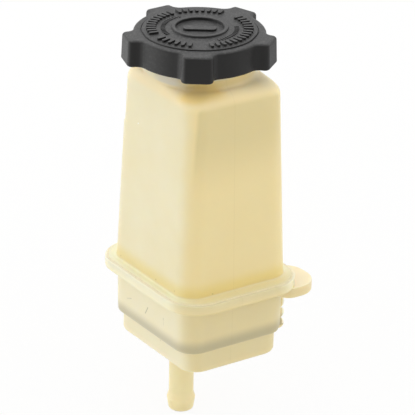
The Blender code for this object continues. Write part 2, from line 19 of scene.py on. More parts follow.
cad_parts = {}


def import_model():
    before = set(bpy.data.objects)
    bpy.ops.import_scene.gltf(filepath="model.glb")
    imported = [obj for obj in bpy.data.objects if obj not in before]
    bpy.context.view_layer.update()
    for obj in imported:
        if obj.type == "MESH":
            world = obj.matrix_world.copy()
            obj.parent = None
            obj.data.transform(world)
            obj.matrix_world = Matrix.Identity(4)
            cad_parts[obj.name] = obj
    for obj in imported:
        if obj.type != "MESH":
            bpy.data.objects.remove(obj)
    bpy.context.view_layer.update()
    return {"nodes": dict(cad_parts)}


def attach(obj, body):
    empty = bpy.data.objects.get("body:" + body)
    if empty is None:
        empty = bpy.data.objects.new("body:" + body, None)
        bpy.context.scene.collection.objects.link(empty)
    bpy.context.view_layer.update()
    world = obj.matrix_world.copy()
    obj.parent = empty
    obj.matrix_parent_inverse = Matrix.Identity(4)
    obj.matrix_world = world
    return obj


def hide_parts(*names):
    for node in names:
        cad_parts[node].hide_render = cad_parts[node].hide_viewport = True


LOG = logging.getLogger("reservoir")
MM = 0.001
MERGE_MM = 0.0005
FAR = 1000.0
FULL_TURN = 2 * math.pi
WHITE = (1.0, 1.0, 1.0, 1.0)

Pair = tuple[float, float]
Point = tuple[float, float, float]
Ring = list[Point]
Size = tuple[float, float, float]
Socket = bpy.types.NodeSocket
Sockets = bpy.types.bpy_prop_collection


class Body(Enum):
    """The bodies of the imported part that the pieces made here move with."""

    TANK = "tank"
    CAP = "cap"


class Join(Enum):
    """What an exact Boolean does with its second mesh."""

    ADD = "UNION"
    CUT = "DIFFERENCE"


class Ends(Enum):
    """How the first and the last ring of a loft are closed."""

    FLAT = auto()
    JOINED = auto()
    POINTED = auto()


# ---- Colour and nodes


def linear(code: int) -> tuple[float, float, float, float]:
    """Turns an sRGB hex value into linear light.

    Args:
        code: The colour as 0xRRGGBB.

    Returns:
        Red, green, blue and a full alpha.
    """
    channels = []
    for shift in (16, 8, 0):
        value = ((code >> shift) & 255) / 255
        channels.append(value / 12.92 if value <= 0.04045 else ((value + 0.055) / 1.055) ** 2.4)
    return (channels[0], channels[1], channels[2], 1.0)


def fill_inputs(tree: bpy.types.NodeTree, node: bpy.types.Node, inputs: dict) -> None:
    """Gives a node's inputs their values, or links from sockets."""
    for key, value in inputs.items():
        if isinstance(value, Socket):
            tree.links.new(value, node.inputs[key])
        else:
            node.inputs[key].default_value = value


def add_node(tree: bpy.types.NodeTree, kind: str, inputs: dict | None = None, **settings: object):
    """Adds a node with its settings, and its inputs as values or as links from sockets.

    Args:
        tree: The node tree.
        kind: The node's type name.
        inputs: Input names or numbers, with a value or an output socket for each.
        **settings: Properties of the node.

    Returns:
        The node.
    """
    node = tree.nodes.new(kind)
    for name, value in settings.items():
        setattr(node, name, value)
    fill_inputs(tree, node, inputs or {})
    return node


class NodeSet:
    """A node tree, with short ways to add the nodes that come up often."""

    def __init__(self, tree: bpy.types.NodeTree) -> None:
        """Keeps the tree."""
        self.tree = tree

    def node(self, kind: str, inputs: dict | None = None, **settings: object) -> bpy.types.Node:
        """Adds a node to this tree."""
        return add_node(self.tree, kind, inputs, **settings)

    def math(self, operation: str, first: float | Socket, second: float | Socket = 0.0) -> Socket:
        """Works out a number from two numbers."""
        made = self.node("ShaderNodeMath", {0: first, 1: second}, operation=operation)
        return made.outputs[0]

    def vector(self, operation: str, first: object, second: object, out: str = "Vector") -> Socket:
        """Works out a vector from two vectors, or a number if what comes out is the value."""
        key = "Scale" if operation == "SCALE" else 1
        made = self.node("ShaderNodeVectorMath", {0: first, key: second}, operation=operation)
        return made.outputs[out]

    def split(self, vector: Socket) -> Sockets:
        """Returns a vector's X, Y and Z as sockets."""
        return self.node("ShaderNodeSeparateXYZ", {0: vector}).outputs

    def join(self, **parts: float | Socket) -> Socket:
        """Makes a vector of numbers named X, Y and Z."""
        return self.node("ShaderNodeCombineXYZ", parts).outputs[0]

    def ramp(
        self,
        value: Socket,
        source: Pair = (0.0, 1.0),
        target: Pair = (0.0, 1.0),
        smooth: bool = False,
    ) -> Socket:
        """Maps a number from one range to another and holds it at the ends.

        Args:
            value: The number.
            source: The range that it comes in.
            target: What the two ends of that range become.
            smooth: Eases both ends.

        Returns:
            The new number.
        """
        inputs = {"Value": value, "From Min": source[0], "From Max": source[1]}
        inputs |= {"To Min": target[0], "To Max": target[1]}
        kind = "SMOOTHSTEP" if smooth else "LINEAR"
        return self.node("ShaderNodeMapRange", inputs, interpolation_type=kind).outputs[0]

    def mix(self, mask: Socket, first: int | Socket, second: int | Socket) -> Socket:
        """Mixes two colours, each a hex value or a socket, by a mask."""
        pair = [linear(item) if isinstance(item, int) else item for item in (first, second)]
        made = self.node("ShaderNodeMix", {0: mask, 6: pair[0], 7: pair[1]}, data_type="RGBA")
        return made.outputs[2]


class Surface(NodeSet):
    """A new material's nodes, and where a point of it lies and faces."""

    def __init__(self, name: str) -> None:
        """Opens the material under its name."""
        self.material = bpy.data.materials.new(name)
        self.material.use_nodes = True
        super().__init__(self.material.node_tree)
        spot = self.node("ShaderNodeTexCoord").outputs
        self.place = self.vector("SCALE", spot["Object"], 1 / MM)
        self.normal = spot["Normal"]

    def noise(self, size: float, detail: float, roughness: float = 0.5) -> Socket:
        """Adds noise with features of a size in millimetres."""
        inputs = {"Vector": self.place, "Scale": 1 / size, "Detail": detail}
        inputs["Roughness"] = roughness
        return self.node("ShaderNodeTexNoise", inputs).outputs["Fac"]

    def bump(
        self, height: Socket, strength: float, depth: float, under: Socket | None = None
    ) -> Socket:
        """Turns a height into a bump of a depth in millimetres, on top of another bump if given."""
        inputs = {"Height": height, "Strength": strength, "Distance": depth * MM}
        if under is not None:
            inputs["Normal"] = under
        return self.node("ShaderNodeBump", inputs).outputs[0]

    def finish(self, inputs: dict) -> bpy.types.Material:
        """Gives the shader its inputs and returns the material."""
        fill_inputs(self.tree, self.tree.nodes["Principled BSDF"], inputs)
        return self.material


# ---- Meshes


def arc(count: int) -> list[float]:
    """Angles from 0 to a quarter turn, both ends included."""
    return [math.pi / 2 * index / count for index in range(count + 1)]


def whole_turn(count: int) -> list[float]:
    """Angles in equal steps round a full turn, without its end."""
    return [FULL_TURN * index / count for index in range(count)]


def turned(x: float, y: float, angle: float, centre: Pair) -> Pair:
    """Turns a point about the origin and then moves the origin to a centre."""
    cosine, sine = math.cos(angle), math.sin(angle)
    return centre[0] + x * cosine - y * sine, centre[1] + x * sine + y * cosine


def drawn_in(size: Size, inset: float) -> Size:
    """A rounded rectangle's half sizes and corner radius with its sides moved inwards."""
    return (size[0] - inset, size[1] - inset, size[2] - inset)


def rounded_outline(
    half_x: float, half_y: float, radius: float, steps: int, side_steps: int = 1
) -> list[Point]:
    """Outline of a rectangle with round corners, counter-clockwise.

    Args:
        half_x: Half the size along X.
        half_y: Half the size along Y.
        radius: Corner radius.
        steps: Steps in each corner.
        side_steps: Steps along each straight side.

    Returns:
        Points as (x, y, heading of the outward normal).
    """
    corners = []
    for turn, (side_x, side_y) in enumerate(((1, 1), (-1, 1), (-1, -1), (1, -1))):
        corner = []
        for index in range(steps + 1):
            heading = (turn + index / steps) * math.pi / 2
            x = side_x * (half_x - radius) + radius * math.cos(heading)
            y = side_y * (half_y - radius) + radius * math.sin(heading)
            corner.append((x, y, heading))
        corners.append(corner)
    points = []
    for turn, corner in enumerate(corners):
        points += corner
        x, y, heading = corner[-1]
        next_x, next_y, _ = corners[(turn + 1) % 4][0]
        for index in range(1, side_steps):
            share = index / side_steps
            points.append((x + (next_x - x) * share, y + (next_y - y) * share, heading))
    return points


def loft(name: str, rings: Sequence[Ring], ends: Ends = Ends.FLAT) -> bpy.types.Mesh:
    """Joins rings of equal point count into a closed mesh with its faces outwards.

    Args:
        name: The mesh's name.
        rings: The rings, in order and in millimetres.
        ends: How the two ends are closed. Pointed ends have all their points in one place.

    Returns:
        The mesh, in metres.
    """
    count = len(rings[0])
    last = len(rings) - 1
    pairs = [(index, index + 1) for index in range(last)]
    if ends is Ends.JOINED:
        pairs.append((last, 0))
    faces: list[tuple[int, ...]] = []
    for low, high in pairs:
        for index in range(count):
            after = (index + 1) % count
            start, end = low * count, high * count
            faces.append((start + index, start + after, end + after, end + index))
    if ends is Ends.FLAT:
        faces.append(tuple(reversed(range(count))))
        faces.append(tuple(range(last * count, (last + 1) * count)))
    mesh = bpy.data.meshes.new(name)
    mesh.from_pydata([Vector(point) * MM for ring in rings for point in ring], [], faces)
    work = bmesh.new()
    work.from_mesh(mesh)
    bmesh.ops.remove_doubles(work, verts=work.verts, dist=MERGE_MM * MM)
    bmesh.ops.recalc_face_normals(work, faces=work.faces)
    work.to_mesh(mesh)
    work.free()
    return mesh


def revolve(name: str, profile: Sequence[Pair], centre: Pair, steps: int) -> bpy.types.Mesh:
    """Turns a profile round a vertical axis.

    Args:
        name: The mesh's name.
        profile: Points as (radius, z). It is closed as a ring, or starts and ends on the axis.
        centre: The axis as (x, y).
        steps: Steps in a full turn.

    Returns:
        The mesh.
    """
    rings = [
        [(*turned(radius, 0.0, angle, centre), z) for angle in whole_turn(steps)]
        for radius, z in profile
    ]
    return loft(name, rings, Ends.JOINED if profile[0][0] > 0.0 else Ends.POINTED)


def place_object(name: str, data: bpy.types.ID) -> bpy.types.Object:
    """Makes an object and links it to the scene."""
    made = bpy.data.objects.new(name, data)
    bpy.context.scene.collection.objects.link(made)
    return made


def settle(body: bpy.types.Object, helpers: Sequence[bpy.types.Object] = ()) -> bpy.types.Mesh:
    """Returns what an object's modifiers make of it, and removes it and its helpers."""
    bpy.context.view_layer.update()
    graph = bpy.context.evaluated_depsgraph_get()
    mesh = bpy.data.meshes.new_from_object(body.evaluated_get(graph), depsgraph=graph)
    for used in [*helpers, body]:
        bpy.data.objects.remove(used, do_unlink=True)
    return mesh


def combine(base: bpy.types.Mesh, others: Sequence[tuple[Join, bpy.types.Mesh]]) -> bpy.types.Mesh:
    """Adds meshes to a mesh or cuts them from it, one after the other.

    Args:
        base: The mesh to start from.
        others: Each second mesh, with what is done with it.

    Returns:
        The plain mesh that comes out.
    """
    body = place_object(base.name, base)
    helpers = []
    for join, mesh in others:
        helpers.append(place_object(mesh.name, mesh))
        modifier = body.modifiers.new(mesh.name, "BOOLEAN")
        modifier.operation = join.value
        modifier.solver = "EXACT"
        modifier.object = helpers[-1]
    return settle(body, helpers)


def shade(mesh: bpy.types.Mesh, sharp_degrees: float = 32.0) -> bpy.types.Mesh:
    """Shades round parts smooth and keeps flat faces flat to look at.

    Args:
        mesh: The mesh.
        sharp_degrees: Edges sharper than this stay sharp.

    Returns:
        A copy of the mesh with its own normals.
    """
    mesh.shade_smooth()
    mesh.set_sharp_from_angle(angle=math.radians(sharp_degrees))
    holder = place_object(mesh.name, mesh)
    weighted = holder.modifiers.new("Even shading", "WEIGHTED_NORMAL")
    weighted.keep_sharp = True
    weighted.weight = 50
    return settle(holder)


def add_piece(
    name: str,
    mesh: bpy.types.Mesh,
    material: bpy.types.Material,
    body: Body,
    replaces: Sequence[str] = (),
) -> None:
    """Puts a finished mesh in the scene as a piece of the object.

    Args:
        name: The piece's name.
        mesh: Its mesh, in its place.
        material: Its finish.
        body: The body that it moves with.
        replaces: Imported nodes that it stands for.
    """
    mesh.name = name
    mesh.materials.clear()
    mesh.materials.append(material)
    piece = place_object(name, mesh)
    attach(piece, body.value)
    if replaces:
        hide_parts(*replaces)
    mesh.calc_loop_triangles()
    LOG.info("%s: %d triangles on %s", name, len(mesh.loop_triangles), body.value)


# ---- Geometry node trees


class PathTree(NodeSet):
    """A geometry node tree with named number inputs, for what repeats or follows a path."""

    def __init__(self, name: str, sizes: dict[str, float], material: bpy.types.Material) -> None:
        """Opens the tree and gives it its inputs and its output.

        Args:
            name: The tree's name.
            sizes: Its inputs by name, in metres and radians.
            material: What the result is made of.
        """
        super().__init__(bpy.data.node_groups.new(name, "GeometryNodeTree"))
        self.sizes = sizes
        self.material = material
        face = self.tree.interface
        face.new_socket("Geometry", in_out="OUTPUT", socket_type="NodeSocketGeometry")
        for size in sizes:
            face.new_socket(size, in_out="INPUT", socket_type="NodeSocketFloat")
        self.start = self.tree.nodes.new("NodeGroupInput")

    def size(self, name: str) -> Socket:
        """Returns the socket of a named size."""
        return self.start.outputs[name]

    def sizes_as_vector(self) -> Socket:
        """Makes a vector of the sizes named X, Y and Z."""
        return self.join(X=self.size("X"), Y=self.size("Y"), Z=self.size("Z"))

    def rounded_box(self, width: Socket, height: Socket, radius: Socket, steps: int) -> Socket:
        """Adds a rectangle with round corners and returns its curve."""
        sides = {"Width": width, "Height": height}
        box = self.node("GeometryNodeCurvePrimitiveQuadrilateral", sides)
        inputs = {"Curve": box.outputs[0], "Radius": radius, "Count": steps, "Limit Radius": True}
        return self.node("GeometryNodeFilletCurve", inputs, mode="POLY").outputs[0]

    def rod(self, curve: Socket, radius: Socket, sides: int, capped: bool = False) -> Socket:
        """Lays a round section along a curve and returns the mesh."""
        circle = {"Resolution": sides, "Radius": 1.0}
        section = self.node("GeometryNodeCurvePrimitiveCircle", circle)
        inputs = {"Curve": curve, "Profile Curve": section.outputs[0], "Scale": radius}
        inputs["Fill Caps"] = capped
        return self.node("GeometryNodeCurveToMesh", inputs).outputs[0]

    def moved(self, geometry: Socket, offset: Socket) -> Socket:
        """Moves geometry and returns it."""
        inputs = {"Geometry": geometry, "Translation": offset}
        return self.node("GeometryNodeTransform", inputs).outputs[0]

    def mesh(self, geometry: Socket) -> bpy.types.Mesh:
        """Closes the tree and returns its result as a plain mesh.

        Args:
            geometry: The socket with the finished geometry.

        Returns:
            The mesh, in metres.
        """
        real = self.node("GeometryNodeRealizeInstances", {"Geometry": geometry}).outputs[0]
        inputs = {"Geometry": real, "Material": self.material}
        dressed = self.node("GeometryNodeSetMaterial", inputs).outputs[0]
        self.node("NodeGroupOutput", {"Geometry": dressed})
        holder = place_object(self.tree.name, bpy.data.meshes.new(self.tree.name))
        modifier = holder.modifiers.new(self.tree.name, "NODES")
        modifier.node_group = self.tree
        for item in self.tree.interface.items_tree:
            if item.in_out == "INPUT":
                modifier[item.identifier] = self.sizes[item.name]
        return settle(holder)


# ---- Finishes


@dataclass(frozen=True)
class HeightBand:
    """A level stretch of the plastic with a colour laid over it, soft or sharp at either side: its
    own colour, painted light or painted shade.

    It can end at limits along X and Y, so that it shows on one side of the tank only.
    """

    low: float
    high: float
    soft_low: float
    soft_high: float
    colour: int
    strength: float
    span_x: Pair = (-FAR, FAR)
    span_y: Pair = (-FAR, FAR)
    soft_side: float = 1.0


@dataclass(frozen=True)
class Hairline:
    """A scratch, hair or speck on the surface, from one point to another."""

    start: Point
    end: Point
    width: float
    colour: int
    strength: float


@dataclass(frozen=True)
class AgedTankPlastic:
    """Natural polypropylene, injection moulded and yellowed.

    Light goes into it and comes out warmer, so it has no hard shade and its far side glows. The
    deeper yellow of its side facing +X is painted shade.
    """

    name: str
    bands: tuple[HeightBand, ...]
    hairlines: tuple[Hairline, ...]
    cream: int = 0xF0E6C8
    yellow: int = 0xE9DAB0
    # Painted shade on the side that faces +X.
    shaded_side: int = 0xEFD69A
    shaded_side_strength: float = 0.75
    cloud_mm: float = 30.0
    sink_mm: float = 14.0
    grain_mm: float = 0.9
    parting: int = 0xA8904E
    parting_y: float = -3.1
    parting_strength: float = 0.07

    def make(self) -> bpy.types.Material:
        """Builds the material."""
        nodes = Surface(self.name)
        axes = nodes.split(nodes.place)
        cloud = nodes.noise(self.cloud_mm, 3.0, 0.55)
        colour = nodes.mix(cloud, self.cream, self.yellow)
        # Painted shade: the side facing +X turns a deeper yellow.
        facing = nodes.split(nodes.normal)["X"]
        shaded_side_mask = nodes.ramp(facing, (0.15, 0.9), (0.0, self.shaded_side_strength), smooth=True)
        colour = nodes.mix(shaded_side_mask, colour, self.shaded_side)
        # Height bands, some of them painted light or painted shade, then scratches and specks.
        for band in self.bands:
            colour = nodes.mix(self.band_mask(nodes, axes, band), colour, band.colour)
        for line in self.hairlines:
            colour = nodes.mix(self.line_mask(nodes, line), colour, line.colour)
        away = nodes.math("ABSOLUTE", nodes.math("SUBTRACT", axes["Y"], self.parting_y))
        seam = nodes.ramp(away, (0.08, 0.3), (self.parting_strength, 0.0))
        colour = nodes.mix(seam, colour, self.parting)
        grain = nodes.bump(nodes.noise(self.grain_mm, 2.0), 0.05, 0.3)
        return nodes.finish(
            {
                "Base Color": colour,
                "Normal": nodes.bump(nodes.noise(self.sink_mm, 1.0), 0.25, 1.2, under=grain),
                "Roughness": nodes.ramp(cloud, target=(0.36, 0.5)),
                "IOR": 1.49,
                "Subsurface Weight": 0.7,
                "Subsurface Radius": (1.0, 0.85, 0.6),
                "Subsurface Scale": 0.004,
            }
        )

    def band_mask(self, nodes: Surface, axes: Sockets, band: HeightBand) -> Socket:
        """Returns a mask that is full inside a band's limits and fades past them."""
        rise = nodes.ramp(axes["Z"], (band.low - band.soft_low, band.low), smooth=True)
        end = (band.high, band.high + band.soft_high)
        fall = nodes.ramp(axes["Z"], end, (band.strength, 0.0), smooth=True)
        mask = nodes.math("MULTIPLY", rise, fall)
        soft = band.soft_side
        for axis, (first, last) in (("X", band.span_x), ("Y", band.span_y)):
            for edge in ((first, first + soft), (last + soft, last)):
                if abs(edge[0]) < FAR / 2:
                    mask = nodes.math("MULTIPLY", mask, nodes.ramp(axes[axis], edge))
        return mask

    def line_mask(self, nodes: Surface, line: Hairline) -> Socket:
        """Returns a mask round the straight stretch between two points."""
        start = Vector(line.start)
        along = Vector(line.end) - start
        offset = nodes.vector("SUBTRACT", nodes.place, start)
        share = nodes.vector("DOT_PRODUCT", offset, along / along.length_squared, "Value")
        held = nodes.node("ShaderNodeClamp", {"Value": share}).outputs[0]
        away = nodes.vector("DISTANCE", offset, nodes.vector("SCALE", along, held), "Value")
        edge = (line.width * 0.3, line.width)
        return nodes.ramp(away, edge, (line.strength, 0.0), smooth=True)


@dataclass(frozen=True)
class CapPlastic:
    """Black polypropylene, injection moulded in a spark-eroded mould.

    Its fine grain spreads the light, and its top holds dust. The grey of its top is partly a fade
    and partly painted light from above, and its side facing -X and -Y, towards the side softbox, is
    painted lighter as painted light.
    """

    name: str = "black_polypropylene_cap"
    black: int = 0x11100F
    faded_and_lit_grey: int = 0x464646
    dust: int = 0x6C6B6A
    blotch_mm: float = 5.0
    dust_mm: float = 1.3
    grain_mm: float = 0.35
    # The side facing -X and -Y, painted lighter as painted light.
    lit_side: Point = (-0.6, -0.8, 0.0)
    lit_side_strength: float = 0.85

    def make(self) -> bpy.types.Material:
        """Builds the material."""
        nodes = Surface(self.name)
        blotch = nodes.noise(self.blotch_mm, 5.0, 0.65)
        facing = nodes.split(nodes.normal)["Z"]
        # Painted light: upward faces turn grey, partly as a fade, and the side towards the side
        # softbox is painted lighter.
        upward = nodes.ramp(facing, (0.35, 0.95), (0.0, 0.9), smooth=True)
        lit_top_and_fade = nodes.math("MULTIPLY", upward, nodes.ramp(blotch, (0.3, 0.7), (0.65, 1.0)))
        towards = nodes.vector("DOT_PRODUCT", nodes.normal, self.lit_side, "Value")
        lit_side_mask = nodes.ramp(towards, (0.1, 1.0), (0.0, self.lit_side_strength), smooth=True)
        specks = nodes.ramp(nodes.noise(self.dust_mm, 4.0, 0.75), (0.48, 0.68))
        dust = nodes.math("MULTIPLY", specks, nodes.ramp(upward, target=(0.3, 0.8)))
        grey = nodes.mix(dust, self.faded_and_lit_grey, self.dust)
        return nodes.finish(
            {
                "Base Color": nodes.mix(nodes.math("MAXIMUM", lit_top_and_fade, lit_side_mask), self.black, grey),
                "Normal": nodes.bump(nodes.noise(self.grain_mm, 2.0, 0.7), 0.35, 0.25),
                "Roughness": nodes.ramp(blotch, target=(0.42, 0.6)),
                "IOR": 1.49,
                "Specular IOR Level": 0.35,
            }
        )


@dataclass(frozen=True)
class GrainedPlain:
    """A small part's own material: one colour with fine grain and a little unevenness."""

    name: str
    colour: int
    roughness: float
    grain_mm: float
    grain_strength: float = 0.2

    def make(self) -> bpy.types.Material:
        """Builds the material."""
        nodes = Surface(self.name)
        grain = nodes.noise(self.grain_mm, 3.0)
        tone = {"Value": nodes.ramp(grain, target=(0.8, 1.15)), "Color": linear(self.colour)}
        return nodes.finish(
            {
                "Base Color": nodes.node("ShaderNodeHueSaturation", tone).outputs[0],
                "Normal": nodes.bump(grain, self.grain_strength, 0.2),
                "Roughness": self.roughness,
            }
        )


# ---- The tank


@dataclass(frozen=True)
class Collar:
    """Sizes of the rim where the two halves of the tank are welded."""

    size: Size = (40.2, 34.3, 16.6)
    height: float = 4.85
    edge_round: float = 0.5
    lip: float = 1.2
    seat_z: float = 2.6
    gap: float = 0.3
    flange: float = 2.4

    @property
    def flange_top(self) -> float:
        """Height of the upper half's flange."""
        return self.seat_z + self.gap + self.flange


@dataclass
class Moulding:
    """One half of the tank, built up from level rings."""

    collar: Collar
    corner_steps: int = 18
    side_steps: int = 1

    def ring(self, size: Size, z: float) -> Ring:
        """One level of the moulding."""
        outline = rounded_outline(*size, self.corner_steps, self.side_steps)
        return [(x, y, z) for x, y, _ in outline]

    def rounded_rim(self, size: Size, edge_z: float, rounding: float, up: bool) -> list[Ring]:
        """Rings of an outer edge's round, from the side to the flat.

        Args:
            size: The side's half sizes and corner radius.
            edge_z: Height of the flat.
            rounding: The edge's radius.
            up: The flat faces up.

        Returns:
            The rings.
        """
        rings = []
        for angle in arc(5):
            back = rounding * (1.0 - math.sin(angle))
            z = edge_z - back if up else edge_z + back
            rings.append(self.ring(drawn_in(size, rounding * (1.0 - math.cos(angle))), z))
        return rings


@dataclass
class UpperTank(Moulding):
    """The upper half: flange, drafted body, sloped shoulder and neck.

    The upper stretch of its left side is set in a little, as if a mould insert stood proud there.
    """

    corner_steps: int = 20
    side_steps: int = 16
    foot_half: Pair = (33.0, 29.3)
    top_half: Pair = (30.6, 26.35)
    corner: float = 9.8
    wall: float = 2.2
    shoulder_z: float = 95.0
    bend_width: float = 13.0
    bend_height: float = 7.8
    bend_degrees: float = 75.0
    corner_gain: float = 0.3
    neck_centre: Pair = (-1.9, -1.1)
    neck_radius: float = 25.1
    neck_wall: float = 2.4
    neck_height: float = 14.1
    fillet_top: float = 105.8
    fillet_share: float = 0.93
    turn_degrees: float = 72.0
    back_drop: float = 0.16
    back_drop_top: float = 106.8
    flange_round: float = 0.6
    foot_fillet: float = 1.2
    jog_z: float = 73.5
    jog: float = 0.45
    jog_degrees: Pair = (130.0, 262.0)
    jog_fades: Pair = (25.0, 18.0)
    slope_share: float = 0.4
    wall_levels: int = 24

    @property
    def neck_top(self) -> float:
        """Height of the neck's rim."""
        return self.shoulder_z + self.bend_height + self.neck_height

    def set_in(self, heading: float, z: float) -> float:
        """How far the upper stretch of the left side is set in at one heading and height."""
        degrees = math.degrees(heading)
        start, end = self.jog_degrees
        first, last = self.jog_fades
        ramps = ((degrees - start) / first, (end - degrees) / last, z - self.jog_z)
        return self.jog * math.prod(min(max(ramp, 0.0), 1.0) for ramp in ramps)

    def wall_ring(self, z: float) -> Ring:
        """One level of the body's outer face."""
        top = self.collar.flange_top
        share = (z - top) / (self.shoulder_z - top)
        half = [foot + (end - foot) * share for foot, end in zip(self.foot_half, self.top_half)]
        outline = rounded_outline(*half, self.corner, self.corner_steps, self.side_steps)
        ring = []
        for x, y, heading in outline:
            inset = self.set_in(heading, z)
            ring.append((x - inset * math.cos(heading), y - inset * math.sin(heading), z))
        return ring

    def underside(self) -> list[Ring]:
        """Rings of the shoulder's inner face, drawn in over a bend and a gentle slope."""
        last = math.radians(self.bend_degrees)
        points = []
        for index in range(19):
            angle = last * index / 18
            across = self.bend_height * math.cos(angle)
            along = self.bend_width * math.sin(angle)
            length = math.hypot(across, along)
            inward = self.bend_width * (1.0 - math.cos(angle)) + self.wall * across / length
            points.append((inward, self.bend_height * math.sin(angle) - self.wall * along / length))
        inward, rise = points[-1]
        steepness = self.bend_height * math.cos(last) / (self.bend_width * math.sin(last))
        reach = self.top_half[1] - self.slope_share * self.neck_radius
        points.append((reach, rise + (reach - inward) * steepness))
        rings = []
        for inward, rise in points:
            half = (self.top_half[0] - inward, self.top_half[1] - inward)
            radius = self.corner - self.wall + self.corner_gain * (inward - self.wall)
            rings.append(self.ring((*half, min(radius, *half)), self.shoulder_z + rise))
        return rings

    def crown(self) -> list[Ring]:
        """Rings from the body's top over the shoulder, through its fillet and up the neck.

        Every point moves straight towards the neck's axis, so the shoulder is narrow where the neck
        stands near a side and wide at the corners.
        """
        last = math.radians(self.turn_degrees)
        path = []
        for index in range(1, 17):
            angle = last * index / 16
            z = self.shoulder_z + self.bend_height * math.sin(angle)
            path.append((1.0 - math.cos(angle), 0.0, z))
        share, _, z = path[-1]
        bend_z = z + (self.fillet_share - share) * self.bend_height / math.tan(last)
        for index in range(1, 11):
            part = index / 10
            weights = ((1.0 - part) ** 2, 2.0 * part * (1.0 - part), part**2)
            part_share, part_z = (
                sum(weight * end for weight, end in zip(weights, ends))
                for ends in ((share, self.fillet_share, 1.0), (z, bend_z, self.fillet_top))
            )
            path.append((part_share, 0.0, part_z))
        rim = ((0.0, 0.5), (0.15, 0.15), (0.5, 0.0))
        path += [(1.0, inset, self.neck_top - drop) for inset, drop in rim]
        centre = Vector(self.neck_centre)
        foot = [Vector(point[:2]) - centre for point in self.wall_ring(self.shoulder_z)]
        rings = []
        for share, inset, z in path:
            ring = []
            for away in foot:
                heading = away.normalized()
                reach = away.length + (self.neck_radius - away.length) * share - inset
                place = centre + heading * reach
                back = max(heading.y, 0.0) if z < self.back_drop_top else 0.0
                ring.append((*place, z - self.back_drop * back * (z - self.shoulder_z)))
            rings.append(ring)
        return rings

    def outside(self) -> bpy.types.Mesh:
        """The shell's outer form."""
        rim = self.collar
        flange = drawn_in(rim.size, rim.lip + rim.gap)
        bottom = rim.seat_z + rim.gap
        top = rim.flange_top
        rings = [self.ring(flange, bottom), self.ring(flange, bottom + 0.8)]
        rings += self.rounded_rim(flange, top, self.flange_round, up=True)
        rings.append(self.ring(drawn_in(flange, 1.4), top))
        foot = (*self.foot_half, self.corner)
        rings.append(self.ring(drawn_in(foot, -self.foot_fillet - 0.8), top))
        for angle in arc(6):
            spread = self.foot_fillet * (1.0 - math.sin(angle))
            z = top + self.foot_fillet * (1.0 - math.cos(angle))
            rings.append(self.ring(drawn_in(foot, -spread), z))
        start = top + self.foot_fillet + 1.0
        stretch = self.shoulder_z - 1.0 - start
        count = self.wall_levels
        levels = [start + stretch * index / count for index in range(count + 1)]
        levels += [self.jog_z + above for above in (-0.3, 0.0, 0.5, 1.0, 1.4)]
        rings += [self.wall_ring(z) for z in sorted(levels)]
        return loft("upper_tank_form", rings + self.crown())

    def build(self) -> bpy.types.Mesh:
        """Builds the moulding's mesh."""
        rim = self.collar
        inner = drawn_in((*self.foot_half, self.corner), self.wall)
        inside = [self.ring(inner, rim.seat_z - 2.0), self.ring(inner, rim.flange_top)]
        inside += self.underside()
        mouth = self.neck_radius - self.neck_wall
        high, low = self.neck_top + 2.0, self.shoulder_z + 0.3
        bore = [(0.0, high), (mouth, high), (mouth, low), (0.0, low)]
        steps = [
            (Join.CUT, loft("upper_cavity", inside)),
            (Join.CUT, revolve("mouth", bore, self.neck_centre, 96)),
        ]
        return shade(combine(self.outside(), steps))


